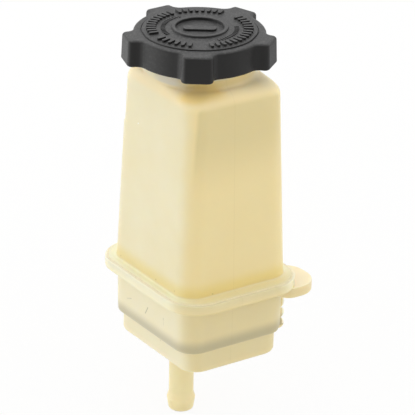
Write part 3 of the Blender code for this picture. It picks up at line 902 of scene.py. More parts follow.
@dataclass
class LowerTank(Moulding):
    """The lower half: collar, body, ledge, base, lug, ridges and hose spigot."""

    half: Pair = (32.7, 29.0)
    corner: float = 10.0
    depth: float = 23.3
    draft: float = 0.01
    ledge_round: float = 2.0
    base_half: Pair = (31.8, 25.7)
    base_corner: float = 9.0
    base_depth: float = 10.6
    base_round: float = 1.8
    wall: float = 2.2
    floor: float = 2.4
    lug_x: Pair = (12.0, 37.8)
    lug_y: Pair = (22.0, 43.2)
    lug_corner: float = 11.2
    lug_root_corner: float = 7.0
    lug_top: float = 0.55
    lug_thickness: float = 5.05
    ridge_radius: float = 2.8
    ridge_sink: float = 1.3
    ridge_first_z: float = -11.2
    ridge_pitch: float = 5.4
    ridge_count: int = 3
    ridge_inset: float = 5.5
    spigot_centre: Pair = (0.0, -9.1)
    spigot_radius: float = 5.85
    spigot_fillet: float = 1.5
    spigot_bore: float = 4.0
    spigot_length: float = 34.1

    @property
    def base_bottom(self) -> float:
        """Height of the floor's underside."""
        return -self.depth - self.base_depth

    @property
    def spigot_end(self) -> float:
        """Height of the spigot's end face."""
        return self.base_bottom - self.spigot_length

    def body_size(self, below: float) -> Size:
        """The body's half sizes and corner radius at a depth below the collar."""
        shrink = self.draft * below
        return (self.half[0] - shrink, self.half[1] - shrink, self.corner)

    def base_foot(self) -> Size:
        """The base's half sizes and corner radius at its floor."""
        shrink = self.draft * self.base_depth
        return (self.base_half[0] - shrink, self.base_half[1] - shrink, self.base_corner)

    def outside(self) -> bpy.types.Mesh:
        """The moulding's outer form, without its fittings."""
        base = (*self.base_half, self.base_corner)
        foot = self.base_foot()
        rings = self.rounded_rim(foot, self.base_bottom, self.base_round, up=False)[::-1]
        rings += [self.ring(base, -self.depth - 0.4), self.ring(base, -self.depth)]
        side_x, side_y, corner = self.body_size(self.depth)
        reach = min(self.ledge_round, side_x - base[0] - 0.3)
        for angle in reversed(arc(7)):
            share = 1.0 - math.cos(angle)
            inset = self.ledge_round * share
            z = -self.depth + self.ledge_round * (1.0 - math.sin(angle))
            rings.append(self.ring((side_x - reach * share, side_y - inset, corner - inset), z))
        for below in (self.depth - self.ledge_round - 1.0, 12.0, 1.0, 0.0):
            rings.append(self.ring(self.body_size(below), -below))
        rim = self.collar
        rings.append(self.ring(drawn_in(rim.size, rim.edge_round + 0.8), 0.0))
        rings += self.rounded_rim(rim.size, 0.0, rim.edge_round, up=False)[::-1]
        rings += self.rounded_rim(rim.size, rim.height, rim.edge_round, up=True)
        return loft("lower_tank_form", rings)

    def cavity(self) -> bpy.types.Mesh:
        """The space inside, with the ledge, the flange's seat and the lip."""
        wall = self.wall
        rim = self.collar
        ledge = wall - self.depth
        foot = drawn_in(self.base_foot(), wall)
        floor = self.base_bottom + self.floor
        lip = drawn_in(rim.size, rim.lip)
        rings = self.rounded_rim(foot, floor, self.base_round, up=False)[::-1]
        rings += [
            self.ring(drawn_in((*self.base_half, self.base_corner), wall), ledge),
            self.ring(drawn_in(self.body_size(self.depth), wall), ledge),
            self.ring(drawn_in(self.body_size(0.0), wall), rim.seat_z),
            self.ring(lip, rim.seat_z),
            self.ring(lip, rim.height + 2.0),
        ]
        return loft("cavity", rings)

    def lug(self) -> bpy.types.Mesh:
        """The flat fixing lug, with its root inside the rim."""
        half_x = (self.lug_x[1] - self.lug_x[0]) / 2
        half_y = (self.lug_y[1] - self.lug_y[0]) / 2
        middle = (sum(self.lug_x) / 2, sum(self.lug_y) / 2)
        bottom, top = self.lug_top - self.lug_thickness, self.lug_top
        edges = [(0.5, bottom), (0.15, bottom + 0.15), (0.0, bottom + 0.5)]
        edges += [(0.0, top - 0.4), (0.12, top - 0.12), (0.4, top)]
        rings = []
        for inset, z in edges:
            ring = []
            size = drawn_in((half_x, half_y, self.lug_corner), inset)
            small = self.lug_root_corner - inset
            for x, y, heading in rounded_outline(*size, self.corner_steps):
                if heading >= math.pi - 1e-6:
                    side = -1 if heading < 1.5 * math.pi - 1e-6 or x < 0 else 1
                    x = side * (size[0] - small) + small * math.cos(heading)
                    y = small - size[1] + small * math.sin(heading)
                ring.append((middle[0] + x, middle[1] + y, z))
            rings.append(ring)
        return loft("lug", rings)

    def ridge(self, index: int) -> bpy.types.Mesh:
        """One half-round ridge on the back wall."""
        left, right = self.lug_x[0], self.half[0] - self.ridge_inset
        centre = (self.half[1] - self.ridge_sink, self.ridge_first_z - index * self.ridge_pitch)
        profile = [(left, 0.5), (left + 0.5, 0.0)]
        profile += [(right - 0.9, 0.0), (right - 0.3, 0.35), (right, 1.0)]
        rings = []
        for x, inset in profile:
            radius = self.ridge_radius - inset
            rings.append([(x, *turned(radius, 0.0, angle, centre)) for angle in whole_turn(36)])
        return loft(f"ridge_{index}", rings)

    def spigot(self) -> bpy.types.Mesh:
        """The barbed hose spigot, with its foot in the floor."""
        top = self.base_bottom + self.floor / 2
        shank = self.spigot_radius
        fillet = self.spigot_fillet
        profile = [(0.0, top), (shank + fillet, top)]
        for angle in arc(6):
            spread = fillet * (1.0 - math.sin(angle))
            profile.append((shank + spread, self.base_bottom - fillet * (1.0 - math.cos(angle))))
        barb = [(shank, 9.3), (shank + 0.04, 8.8), (6.62, 6.35), (6.74, 6.0), (6.7, 5.6)]
        barb += [(5.98, 1.1), (5.93, 0.75), (5.74, 0.35), (5.4, 0.1), (5.0, 0.0), (0.0, 0.0)]
        profile += [(radius, self.spigot_end + above) for radius, above in barb]
        return revolve("spigot", profile, self.spigot_centre, 64)

    def build(self) -> bpy.types.Mesh:
        """Builds the moulding's mesh."""
        high = self.base_bottom + self.base_depth / 2
        low = self.spigot_end - 3.0
        bore = [(0.0, high), (self.spigot_bore, high), (self.spigot_bore, low), (0.0, low)]
        steps = [(Join.ADD, self.lug())]
        steps += [(Join.ADD, self.ridge(index)) for index in range(self.ridge_count)]
        steps += [
            (Join.ADD, self.spigot()),
            (Join.CUT, self.cavity()),
            (Join.CUT, revolve("bore", bore, self.spigot_centre, 48)),
        ]
        return shade(combine(self.outside(), steps))


@dataclass
class WeldSeam:
    """The thin uneven bead of plastic that the weld pressed out between the two halves."""

    collar: Collar
    material: bpy.types.Material
    bead_radius: float = 0.36
    unevenness: float = 0.16
    sunk: float = 0.1
    wave_scale: float = 260.0
    lump_scale: float = 420.0
    points: int = 560

    def build(self) -> bpy.types.Mesh:
        """Builds the bead along the seam, from one geometry node tree."""
        rim = self.collar
        half_x, half_y, corner = drawn_in(rim.size, rim.lip + rim.gap / 2)
        tree = PathTree(
            "weld_bead",
            {
                "Width": 2 * half_x * MM,
                "Depth": 2 * half_y * MM,
                "Corner": corner * MM,
                "Height": (rim.height - self.sunk) * MM,
                "Bead": self.bead_radius * MM,
                "Unevenness": self.unevenness * MM,
            },
            self.material,
        )
        path = tree.rounded_box(tree.size("Width"), tree.size("Depth"), tree.size("Corner"), 16)
        even = {"Curve": path, "Count": self.points}
        fine = tree.node("GeometryNodeResampleCurve", even).outputs[0]
        waves = {"Scale": self.wave_scale, "Detail": 3.0}
        wave = tree.node("ShaderNodeTexNoise", waves).outputs["Fac"]
        lift = tree.math("MULTIPLY", tree.math("SUBTRACT", wave, 0.5), tree.size("Unevenness"))
        offset = tree.join(Z=tree.math("ADD", lift, tree.size("Height")))
        inputs = {"Geometry": fine, "Offset": offset}
        raised = tree.node("GeometryNodeSetPosition", inputs).outputs[0]
        lumps = {"Scale": self.lump_scale, "Detail": 2.0}
        lump = tree.node("ShaderNodeTexNoise", lumps).outputs["Fac"]
        thick = tree.ramp(lump, (0.3, 0.7), (0.75, 1.2))
        radius = tree.math("MULTIPLY", thick, tree.size("Bead"))
        return shade(tree.mesh(tree.rod(raised, radius, 6)), 60.0)


@dataclass
class ScrewThread:
    """One round-backed helical ridge, on the neck's outside or in the cap's bore."""

    name: str
    material: bpy.types.Material
    centre: Pair
    radius: float
    low: float
    turns: float
    pitch: float = 5.0
    ridge: float = 1.05
    taper_share: float = 1 / 14
    thin_end: float = 0.15
    steps: int = 72

    def build(self) -> bpy.types.Mesh:
        """Builds the ridge along a helix with thin ends, from one geometry node tree."""
        tree = PathTree(
            self.name,
            {
                "Radius": self.radius * MM,
                "Turns": self.turns,
                "Rise": self.turns * self.pitch * MM,
                "Ridge": self.ridge * MM,
                "X": self.centre[0] * MM,
                "Y": self.centre[1] * MM,
                "Z": self.low * MM,
            },
            self.material,
        )
        helix = tree.node(
            "GeometryNodeCurveSpiral",
            {
                "Resolution": self.steps,
                "Rotations": tree.size("Turns"),
                "Start Radius": tree.size("Radius"),
                "End Radius": tree.size("Radius"),
                "Height": tree.size("Rise"),
                "Reverse": True,
            },
        )
        along = tree.node("GeometryNodeSplineParameter").outputs["Factor"]
        from_end = tree.math("MINIMUM", along, tree.math("SUBTRACT", 1.0, along))
        taper = tree.ramp(from_end, (0.0, self.taper_share))
        held = tree.math("MAXIMUM", taper, self.thin_end)
        size = tree.math("MULTIPLY", held, tree.size("Ridge"))
        ridge = tree.rod(helix.outputs[0], size, 12, capped=True)
        return shade(tree.mesh(tree.moved(ridge, tree.sizes_as_vector())), 60.0)


# ---- The cap


@dataclass
class ScrewCap:
    """The five-lobed cap: hollow grip, inner skirt, crowned top and raised ring."""

    centre: Pair = (-1.9, -1.1)
    lobes: int = 5
    turn: float = -35.2
    base_radius: float = 30.3
    lobe_radius: float = 35.1
    lobe_half: float = 6.9
    hollow: float = 4.4
    corner: float = 2.3
    top: float = 121.6
    bottom: float = 109.0
    ceiling: float = 119.0
    flare: float = 0.4
    wall: float = 2.0
    top_round: float = 1.5
    bottom_round: float = 1.0
    skirt: Pair = (27.4, 29.4)
    skirt_rise: float = 0.6
    crown_radius: float = 26.4
    crown_rise: float = 1.0
    crown_edge: float = 0.55
    groove: float = 0.3
    ring: Pair = (11.1, 13.0)
    ring_rise: float = 0.8
    recess: float = 0.8
    arc_steps: int = 8

    @property
    def recess_floor(self) -> float:
        """Height of the flat inside the raised ring."""
        return self.top + self.crown_rise - self.recess

    def half_lobe(self, inset: float) -> list[Pair]:
        """Half of one lobe's outline, from the valley's middle to the lobe's flat end."""
        base = self.base_radius - inset
        half = self.lobe_half - inset
        hollow = self.hollow + inset
        corner = max(self.corner - inset, 0.2)
        outer = self.lobe_radius - inset
        centre_y = half + hollow
        centre_x = math.sqrt((base + hollow) ** 2 - centre_y**2)
        valley = math.pi / self.lobes
        tangent = math.atan2(centre_y, centre_x)
        steps = self.arc_steps
        middles = [index + 0.5 for index in range(steps)]
        start = math.pi + tangent
        arcs = (
            (0.0, 0.0, base, valley, tangent, steps + 0.5, middles),
            (centre_x, centre_y, hollow, start, 1.5 * math.pi, steps, range(1, steps + 1)),
            (outer - corner, half - corner, corner, math.pi / 2, 0.0, steps, range(steps + 1)),
        )
        points = []
        for x, y, radius, first, last, count, indices in arcs:
            for index in indices:
                points.append(turned(radius, 0.0, first + (last - first) * index / count, (x, y)))
        return points

    def lobed(self, inset: float, z: float) -> Ring:
        """One level of the lobed outline."""
        half = self.half_lobe(inset)
        one = [(x, -y) for x, y in half] + half[::-1]
        ring = []
        for angle in whole_turn(self.lobes):
            turn = math.radians(self.turn) + angle
            ring += [(*turned(x, y, turn, self.centre), z) for x, y in one]
        return ring

    def circle(self, radius: float, z: float) -> Ring:
        """One level that is round, with its points on the same rays as the lobed outline's."""
        centre = Vector(self.centre)
        ring = []
        for point in self.lobed(self.top_round, z):
            place = centre + (Vector(point[:2]) - centre).normalized() * radius
            ring.append((*place, z))
        return ring

    def crown_height(self, radius: float) -> float:
        """Height of the domed crown at one radius."""
        share = min(max(radius / self.crown_radius, 0.0), 1.0)
        return self.top + self.crown_edge + (self.crown_rise - self.crown_edge) * (1.0 - share**2)

    def grip(self) -> list[Ring]:
        """Rings of the lobed side, from its rounded foot to its rounded top."""
        rings = []
        for angle in reversed(arc(4)):
            inset = self.bottom_round * (1.0 - math.cos(angle)) - self.flare
            z = self.bottom + self.bottom_round * (1.0 - math.sin(angle))
            rings.append(self.lobed(inset, z))
        for share in (0.2, 0.4, 0.6, 0.8):
            z = self.bottom + (self.top - self.top_round - self.bottom) * share
            rings.append(self.lobed(-self.flare * (1.0 - share), z))
        for angle in arc(5):
            inset = self.top_round * (1.0 - math.cos(angle))
            rings.append(self.lobed(inset, self.top - self.top_round * (1.0 - math.sin(angle))))
        return rings

    def crown(self) -> list[Ring]:
        """Rings of the top: the groove, the dome, the raised ring and the flat inside it."""
        edge = self.crown_height(self.crown_radius)
        steps = [
            (self.crown_radius + 1.2, self.top),
            (self.crown_radius + 0.5, self.top),
            (self.crown_radius + 0.25, self.top - self.groove),
            (self.crown_radius + 0.05, self.top - self.groove),
            (self.crown_radius - 0.05, edge - 0.35),
            (self.crown_radius - 0.15, edge - 0.12),
        ]
        dome = (self.crown_radius - 0.5, 24.0, 21.0, 18.0, 15.0, 13.5)
        steps += [(radius, self.crown_height(radius)) for radius in dome]
        inner, outer = self.ring
        foot = self.crown_height(outer)
        high = self.top + self.crown_rise + self.ring_rise
        floor = self.recess_floor
        steps += [(outer + 0.12, foot + 0.06), (outer, foot + 0.3), (outer - 0.06, high - 0.25)]
        steps += [(outer - 0.3, high), (inner + 0.3, high), (inner + 0.05, high - 0.25)]
        steps += [(inner, floor + 0.25), (inner - 0.25, floor)]
        steps += [(radius, floor) for radius in (8.0, 4.0, 0.5)]
        return [self.circle(radius, z) for radius, z in steps]

    def build(self) -> bpy.types.Mesh:
        """Builds the cap's mesh."""
        form = loft("cap_form", self.grip() + self.crown())
        levels = (self.bottom - 2.0, self.ceiling)
        hollow = loft("cap_hollow", [self.lobed(self.wall, z) for z in levels])
        inside, outside = self.skirt
        low = self.bottom + self.skirt_rise
        high = self.ceiling + 1.3
        profile = [(outside, high), (outside, low), (inside, low), (inside, high)]
        skirt = revolve("cap_skirt", profile, self.centre, 96)
        return shade(combine(form, [(Join.CUT, hollow), (Join.ADD, skirt)]))


@dataclass(frozen=True)
class MarkBand:
    """An arc of plain raised ribs on the cap's crown, all of one size."""

    radius: float
    rib: Pair
    first_degrees: float
    sweep_degrees: float
    count: int
    rise: float


@dataclass
class CapMarks:
    """Plain raised ribs in broken bands round the crown, and a plain bar in the ring's recess."""

    cap: ScrewCap
    material: bpy.types.Material
    sunk: float = 0.35
    rib_corner_share: float = 0.38
    bar: Size = (7.6, 2.5, 2.0)
    bar_degrees: float = 55.0
    bands: tuple[MarkBand, ...] = (
        MarkBand(22.2, (1.5, 4.6), 120.5, 52.0, 8, 1.0),
        MarkBand(22.2, (1.5, 4.6), 184.0, 73.0, 11, 1.0),
        MarkBand(22.2, (1.5, 4.6), 275.5, 40.0, 6, 1.0),
        MarkBand(22.2, (1.5, 4.6), 340.0, 66.0, 10, 1.0),
        MarkBand(22.2, (1.5, 4.6), 415.0, 39.0, 6, 1.0),
        MarkBand(16.8, (0.6, 2.1), 181.0, 85.0, 17, 0.35),
        MarkBand(16.8, (0.6, 2.1), 357.0, 67.0, 14, 0.35),
    )

    def rib(self, tree: PathTree) -> Socket:
        """Builds one round-cornered rib about the middle and returns its geometry."""
        width = tree.size("Rib width")
        radius = tree.math("MULTIPLY", width, self.rib_corner_share)
        outline = tree.rounded_box(width, tree.size("Rib length"), radius, 4)
        filled = tree.node("GeometryNodeFillCurve", {"Curve": outline}, mode="NGONS").outputs[0]
        rise = {"Mesh": filled, "Offset Scale": tree.size("Rib rise"), "Individual": False}
        risen = tree.node("GeometryNodeExtrudeMesh", rise).outputs["Mesh"]
        under = tree.node("GeometryNodeFlipFaces", {"Mesh": filled}).outputs[0]
        closed = tree.node("GeometryNodeJoinGeometry")
        for part in (risen, under):
            tree.tree.links.new(part, closed.inputs[0])
        inputs = {"Geometry": closed.outputs[0], "Distance": 1e-7}
        return tree.node("GeometryNodeMergeByDistance", inputs).outputs[0]

    def build_band(self, band: MarkBand, index: int) -> bpy.types.Mesh:
        """Builds one arc of ribs, from one geometry node tree.

        Args:
            band: The arc.
            index: Its number, for the tree's name.

        Returns:
            The mesh.
        """
        tree = PathTree(
            f"crown_marks_{index}",
            {
                "Radius": band.radius * MM,
                "First": math.radians(band.first_degrees),
                "Sweep": math.radians(band.sweep_degrees),
                "Rib width": band.rib[0] * MM,
                "Rib length": band.rib[1] * MM,
                "Rib rise": (self.sunk + band.rise) * MM,
                "X": self.cap.centre[0] * MM,
                "Y": self.cap.centre[1] * MM,
                "Z": (self.cap.crown_height(band.radius) - self.sunk) * MM,
            },
            self.material,
        )
        path = tree.node(
            "GeometryNodeCurveArc",
            {
                "Resolution": band.count,
                "Radius": tree.size("Radius"),
                "Start Angle": tree.size("First"),
                "Sweep Angle": tree.size("Sweep"),
            },
        ).outputs[0]
        points = tree.node("GeometryNodeCurveToPoints", {"Curve": path}, mode="EVALUATED")
        axes = tree.split(tree.node("GeometryNodeInputPosition").outputs[0])
        heading = tree.math("ARCTAN2", axes["Y"], axes["X"])
        inputs = {"Points": points.outputs[0], "Instance": self.rib(tree)}
        inputs["Rotation"] = tree.join(Z=tree.math("SUBTRACT", heading, math.pi / 2))
        marks = tree.node("GeometryNodeInstanceOnPoints", inputs).outputs[0]
        return shade(tree.mesh(tree.moved(marks, tree.sizes_as_vector())), 40.0)

    def build_bar(self) -> bpy.types.Mesh:
        """Builds the plain rounded bar in the ring's recess."""
        turn = math.radians(self.bar_degrees)
        rings = []
        for inset, above in ((0.0, -0.3), (0.0, 0.75), (0.12, 0.95), (0.35, 1.0)):
            z = self.cap.recess_floor + above
            outline = rounded_outline(*drawn_in(self.bar, inset), 8)
            rings.append([(*turned(x, y, turn, self.cap.centre), z) for x, y, _ in outline])
        return shade(loft("recess_bar", rings))


# ---- The strainer


@dataclass
class StrainerGauze:
    """Woven gauze in the strainer's seat, drawn coarser than the real one."""

    material: bpy.types.Material
    half: Pair = (27.8, 24.1)
    corner: float = 5.4
    level: float = -18.05
    spacing: float = 1.1
    wire: float = 0.2

    def build(self) -> bpy.types.Mesh:
        """Builds the net of wires, from one geometry node tree."""
        tree = PathTree(
            "gauze",
            {
                "Half X": self.half[0] * MM,
                "Half Y": self.half[1] * MM,
                "Corner": self.corner * MM,
                "Wire": self.wire * MM,
                "Level": self.level * MM,
            },
            self.material,
        )
        grid = {}
        axes = tree.split(tree.node("GeometryNodeInputPosition").outputs[0])
        squares = []
        for axis, half in zip("XY", self.half):
            size = tree.size(f"Half {axis}")
            grid[f"Size {axis}"] = tree.math("MULTIPLY", size, 2.0)
            grid[f"Vertices {axis}"] = round(2 * half / self.spacing)
            start = tree.math("SUBTRACT", size, tree.size("Corner"))
            past = tree.math("SUBTRACT", tree.math("ABSOLUTE", axes[axis]), start)
            past = tree.math("MAXIMUM", past, 0.0)
            squares.append(tree.math("MULTIPLY", past, past))
        net = tree.node("GeometryNodeMeshGrid", grid).outputs[0]
        reach = tree.math("SQRT", tree.math("ADD", squares[0], squares[1]))
        limits = {0: reach, 1: tree.size("Corner")}
        outside = tree.node("FunctionNodeCompare", limits, operation="GREATER_THAN").outputs[0]
        inputs = {"Geometry": net, "Selection": outside}
        kept = tree.node("GeometryNodeDeleteGeometry", inputs).outputs[0]
        lines = tree.node("GeometryNodeMeshToCurve", {"Mesh": kept}).outputs[0]
        wires = tree.rod(lines, tree.size("Wire"), 4)
        return tree.mesh(tree.moved(wires, tree.join(Z=tree.size("Level"))))


# ---- The studio


@dataclass(frozen=True)
class Studio:
    """Camera, pale floor and the soft light of a white tent that is open towards the camera."""

    azimuth: float = 0.9737975
    elevation: float = 0.4251057
    roll: float = 0.0209379
    distance: float = 1500.0
    px_per_mm: float = 2.135185
    origin_px: Pair = (199.3047, 272.9920)
    frame_px: float = 415.0
    sensor: float = 36.0
    floor_z: float = -68.3
    floor_reach: float = 6000.0
    floor_glow: float = 0.9
    lamp_distance: float = 900.0
    aim_z: float = 30.0

    def axes(self) -> tuple[Vector, Vector, Vector]:
        """Returns the camera's right, up and back directions."""
        flat = math.cos(self.elevation)
        east, north = math.cos(self.azimuth), math.sin(self.azimuth)
        level = Vector((east, north, 0.0))
        back = Vector((north * flat, -east * flat, math.sin(self.elevation)))
        upright = back.cross(level)
        right = math.cos(self.roll) * level + math.sin(self.roll) * upright
        up = -math.sin(self.roll) * level + math.cos(self.roll) * upright
        return right, up, back

    def add_camera(self) -> None:
        """Sets the camera where the photograph was taken from."""
        right, up, back = self.axes()
        middle = self.frame_px / 2
        shift_x, shift_y = ((value - middle) / self.px_per_mm for value in self.origin_px)
        place = (back * self.distance - right * shift_x + up * shift_y) * MM
        lens = bpy.data.cameras.new("camera")
        lens.sensor_width = self.sensor
        lens.lens = self.distance * self.px_per_mm / self.frame_px * self.sensor
        lens.clip_start = 0.05
        lens.clip_end = 20.0
        camera = place_object("camera", lens)
        turn = Matrix((right, up, back)).transposed().to_4x4()
        camera.matrix_world = Matrix.Translation(place) @ turn
        bpy.context.scene.camera = camera

    def add_floor(self) -> None:
        """Adds a pale floor that the camera sees as near white, with the object's faint shadow.

        It is clear from underneath, so that the object can be looked at from below.
        """
        mesh = bpy.data.meshes.new("floor")
        corners = [(-1, -1), (1, -1), (1, 1), (-1, 1)]
        reach = self.floor_reach * MM
        points = [(x * reach, y * reach, self.floor_z * MM) for x, y in corners]
        mesh.from_pydata(points, [], [(0, 1, 2, 3)])
        material = bpy.data.materials.new("pale_floor")
        material.use_nodes = True
        material.node_tree.nodes.clear()
        nodes = NodeSet(material.node_tree)
        matt = {"Color": linear(0xF4F4F2), "Roughness": 1.0}
        plain = nodes.node("ShaderNodeBsdfDiffuse", matt).outputs[0]
        white = nodes.node("ShaderNodeEmission", {"Color": WHITE, "Strength": 1.0}).outputs[0]
        clear = nodes.node("ShaderNodeBsdfTransparent").outputs[0]
        rays = nodes.node("ShaderNodeLightPath").outputs
        seen = nodes.math("MAXIMUM", rays["Is Camera Ray"], rays["Is Glossy Ray"])
        seen = nodes.math("MAXIMUM", seen, rays["Is Transmission Ray"])
        share = nodes.math("MULTIPLY", seen, self.floor_glow)
        above = nodes.node("ShaderNodeMixShader", {0: share, 1: plain, 2: white}).outputs[0]
        under = nodes.node("ShaderNodeNewGeometry").outputs["Backfacing"]
        whole = nodes.node("ShaderNodeMixShader", {0: under, 1: above, 2: clear}).outputs[0]
        nodes.node("ShaderNodeOutputMaterial", {"Surface": whole})
        mesh.materials.append(material)
        floor = place_object("floor", mesh)

    def add_world(self) -> None:
        """Adds the tent: bright at the sides and behind, darker towards the camera."""
        world = bpy.data.worlds.new("tent")
        world.use_nodes = True
        world.node_tree.nodes.clear()
        bpy.context.scene.world = world
        nodes = NodeSet(world.node_tree)
        right, _, back = self.axes()
        opening = (back + right * 0.3).normalized()
        place = nodes.node("ShaderNodeTexCoord").outputs["Generated"]
        towards = nodes.vector("DOT_PRODUCT", place, opening, "Value")
        strength = nodes.ramp(towards, (0.4, 0.95), (1.05, 0.92), smooth=True)
        seen = nodes.node("ShaderNodeLightPath").outputs["Is Camera Ray"]
        shown = nodes.node("ShaderNodeMix", {0: seen, 2: strength, 3: 1.0}, data_type="FLOAT")
        inputs = {"Color": WHITE, "Strength": shown.outputs[0]}
        light = nodes.node("ShaderNodeBackground", inputs).outputs[0]
        nodes.node("ShaderNodeOutputWorld", {"Surface": light})

    def add_lamp(self, name: str, direction: Vector, size: float, power: float) -> None:
        """Adds a soft box that faces the middle of the object.

        Args:
            name: The lamp's name.
            direction: Where it stands, as a direction from the object.
            size: Its side in millimetres.
            power: Its power in watts.
        """
        lamp = bpy.data.lights.new(name, "AREA")
        lamp.shape = "SQUARE"
        lamp.size = size * MM
        lamp.energy = power
        aim = Vector((0.0, 0.0, self.aim_z)) * MM
        place = aim + direction.normalized() * self.lamp_distance * MM
        turn = (place - aim).to_track_quat("Z", "Y").to_matrix().to_4x4()
        place_object(name, lamp).matrix_world = Matrix.Translation(place) @ turn

    def build(self) -> None:
        """Sets up the whole studio."""
        self.add_camera()
        self.add_floor()
        self.add_world()
        right, up, back = self.axes()
        self.add_lamp("side_softbox", -right * 0.9 + up * 0.15 - back * 0.35, 800.0, 2.0)
        self.add_lamp("top_softbox", -right * 0.3 + up * 0.9 - back * 0.2, 500.0, 0.8)
        self.add_lamp("rim_softbox", right * 0.95 + up * 0.1 - back * 0.35, 700.0, 1.5)
        bpy.context.scene.view_settings.view_transform = "Standard"


# ---- The whole object

UPPER_BANDS = (
    # The flange painted pale as painted light, the yellow foot of the body, and painted shade on
    # the body's right side and the flange's right side.
    HeightBand(2.0, 5.6, 0.1, 0.4, 0xFFF5CE, 1.0),
    HeightBand(6.6, 8.2, 1.6, 6.0, 0xE8D078, 0.5),
    HeightBand(84.0, 96.0, 30.0, 4.0, 0xD6C795, 0.7, span_x=(28.5, FAR)),
    HeightBand(2.0, 5.6, 0.1, 0.4, 0xE2CE98, 0.55, span_x=(26.0, FAR), soft_side=8.0),
    # The shoulder painted lighter as painted light, and painted golden shade on it under the cap's
    # front lobe.
    HeightBand(99.5, 103.0, 4.0, 1.2, 0xF6DFB0, 0.6),
    HeightBand(100.5, 104.6, 2.5, 1.0, 0xF8D06C, 0.55, (15.0, 26.0), (-FAR, -9.0), 5.0),
    # The neck: painted golden shade at its foot under the cap, its pale thread and a pale patch at
    # the front left.
    HeightBand(104.2, 120.0, 1.4, 1.0, 0xE6CC84, 0.5, span_x=(8.0, FAR), soft_side=5.0),
    HeightBand(107.0, 120.0, 1.0, 1.0, 0xDEDCCC, 0.8),
    HeightBand(104.0, 107.0, 1.2, 0.8, 0xDAD2C0, 0.9, (-2.0, 11.0), (-FAR, -5.0), 6.0),
)
UPPER_LINES = (
    Hairline((-12.5, -26.9, 77.3), (-12.4, -26.9, 77.5), 0.5, 0xFFFFFF, 0.8),
    Hairline((-22.7, -29.2, 7.1), (-22.5, -29.2, 7.1), 0.45, 0x9A8A50, 0.35),
    Hairline((7.3, -29.2, 7.0), (7.8, -29.2, 7.1), 0.5, 0x9A8A50, 0.35),
    Hairline((23.1, -29.2, 7.6), (23.3, -29.2, 7.6), 0.45, 0x9A8A50, 0.35),
    Hairline((33.0, -14.9, 6.5), (33.0, -14.6, 6.5), 0.45, 0x9A8A50, 0.35),
)
LOWER_BANDS = (
    # The collar's edge painted pale as painted light, with painted shade at the right.
    HeightBand(0.9, 5.0, 0.3, 0.5, 0xFFF0CC, 0.6),
    HeightBand(0.0, 5.0, 0.5, 0.5, 0xD8C48E, 0.55, (26.0, FAR), (-FAR, 17.0), 8.0),
    # The strainer's shade where it shows through the wall, painted, the ridges painted pale as
    # painted light, and the warm spigot.
    HeightBand(-22.6, -21.2, 0.9, 6.0, 0x8E8C78, 0.5),
    HeightBand(-22.0, -5.4, 0.6, 0.6, 0xFFF8E4, 0.85, span_y=(28.8, FAR), soft_side=0.3),
    HeightBand(-70.0, -37.0, 1.0, 2.0, 0xFFE6B6, 0.9),
)
LOWER_LINES = (
    Hairline((-17.3, -28.9, -13.0), (-15.8, -28.9, -12.4), 0.35, 0x8C846A, 0.22),
    Hairline((-15.2, -28.9, -12.2), (-13.7, -28.9, -11.6), 0.4, 0x8C846A, 0.28),
    Hairline((0.6, -28.9, -10.4), (-1.5, -28.9, -14.1), 0.4, 0x847C58, 0.5),
    Hairline((13.7, -28.9, -10.4), (13.8, -28.9, -11.2), 0.45, 0x8C846A, 0.28),
    Hairline((13.9, -28.9, -11.9), (14.1, -28.9, -13.8), 0.35, 0x8C846A, 0.15),
    Hairline((6.7, -25.7, -25.5), (6.8, -25.7, -25.6), 0.4, 0x6F685A, 0.3),
)


def dress_node(frame: dict, node: str, material: bpy.types.Material) -> None:
    """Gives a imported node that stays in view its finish."""
    for place in frame["nodes"][node].material_slots:
        place.material = material
    LOG.info("%s: dressed", node)


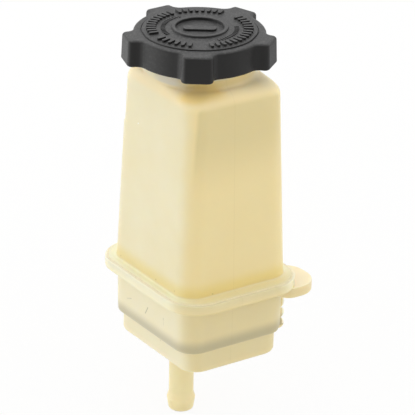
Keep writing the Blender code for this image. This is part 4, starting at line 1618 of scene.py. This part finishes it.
def build_tank() -> None:
    """Builds the two mouldings, the bead of the weld and the neck's thread."""
    collar = Collar()
    cream = AgedTankPlastic("yellowed_polypropylene_upper", UPPER_BANDS, UPPER_LINES).make()
    pale = AgedTankPlastic(
        "yellowed_polypropylene_lower",
        LOWER_BANDS,
        LOWER_LINES,
        cream=0xF2E8CC,
        yellow=0xECDFB8,
        # Painted shade on the lower moulding's side facing +X.
        shaded_side=0xDCCB98,
    ).make()
    flash = GrainedPlain("weld_flash_polypropylene", 0xF8EAC0, 0.45, 0.8, 0.3).make()
    upper = UpperTank(collar)
    lower = LowerTank(collar)
    add_piece("upper_tank_moulding", upper.build(), cream, Body.TANK, ["upper_tank"])
    add_piece("lower_tank_moulding", lower.build(), pale, Body.TANK, ["lower_tank"])
    add_piece("weld_bead", WeldSeam(collar, flash).build(), flash, Body.TANK)
    radius = upper.neck_radius + 0.2
    thread = ScrewThread("neck_thread", cream, upper.neck_centre, radius, 108.3, 1.3)
    add_piece("neck_thread", thread.build(), cream, Body.TANK)


def build_cap() -> None:
    """Builds the cap, its thread and what stands on its crown."""
    black = CapPlastic().make()
    cap = ScrewCap()
    add_piece("cap_moulding", cap.build(), black, Body.CAP, ["cap"])
    thread = ScrewThread("cap_thread", black, cap.centre, cap.skirt[0], 110.8, 1.2)
    add_piece("cap_thread", thread.build(), black, Body.CAP)
    marks = CapMarks(cap, black)
    for index, band in enumerate(marks.bands, 1):
        mesh = marks.build_band(band, index)
        add_piece(f"crown_marks_{index}", mesh, black, Body.CAP)
    add_piece("recess_bar", marks.build_bar(), black, Body.CAP)


def build_inside(frame: dict) -> None:
    """Dresses the seal and the strainer's frame, and builds the strainer's net."""
    # Moulded rubber is dull and swallows light. Nylon has a soft sheen, and its woven threads look
    # paler than the moulded frame.
    rubber = GrainedPlain("nitrile_seal_rubber", 0x1C1C1C, 0.75, 0.4).make()
    strainer = GrainedPlain("grey_nylon_strainer", 0x6E6C66, 0.55, 0.6).make()
    gauze = GrainedPlain("nylon_gauze", 0x8A877C, 0.5, 0.3).make()
    dress_node(frame, "cap_seal", rubber)
    dress_node(frame, "strainer_frame", strainer)
    net = StrainerGauze(gauze).build()
    add_piece("gauze_net", net, gauze, Body.TANK, ["strainer_gauze"])


def main() -> None:
    """Builds every piece in order."""
    logging.basicConfig(level=logging.INFO, format="%(message)s")
    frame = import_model()
    Studio().build()
    build_tank()
    build_cap()
    build_inside(frame)


if __name__ == "__main__":
    main()
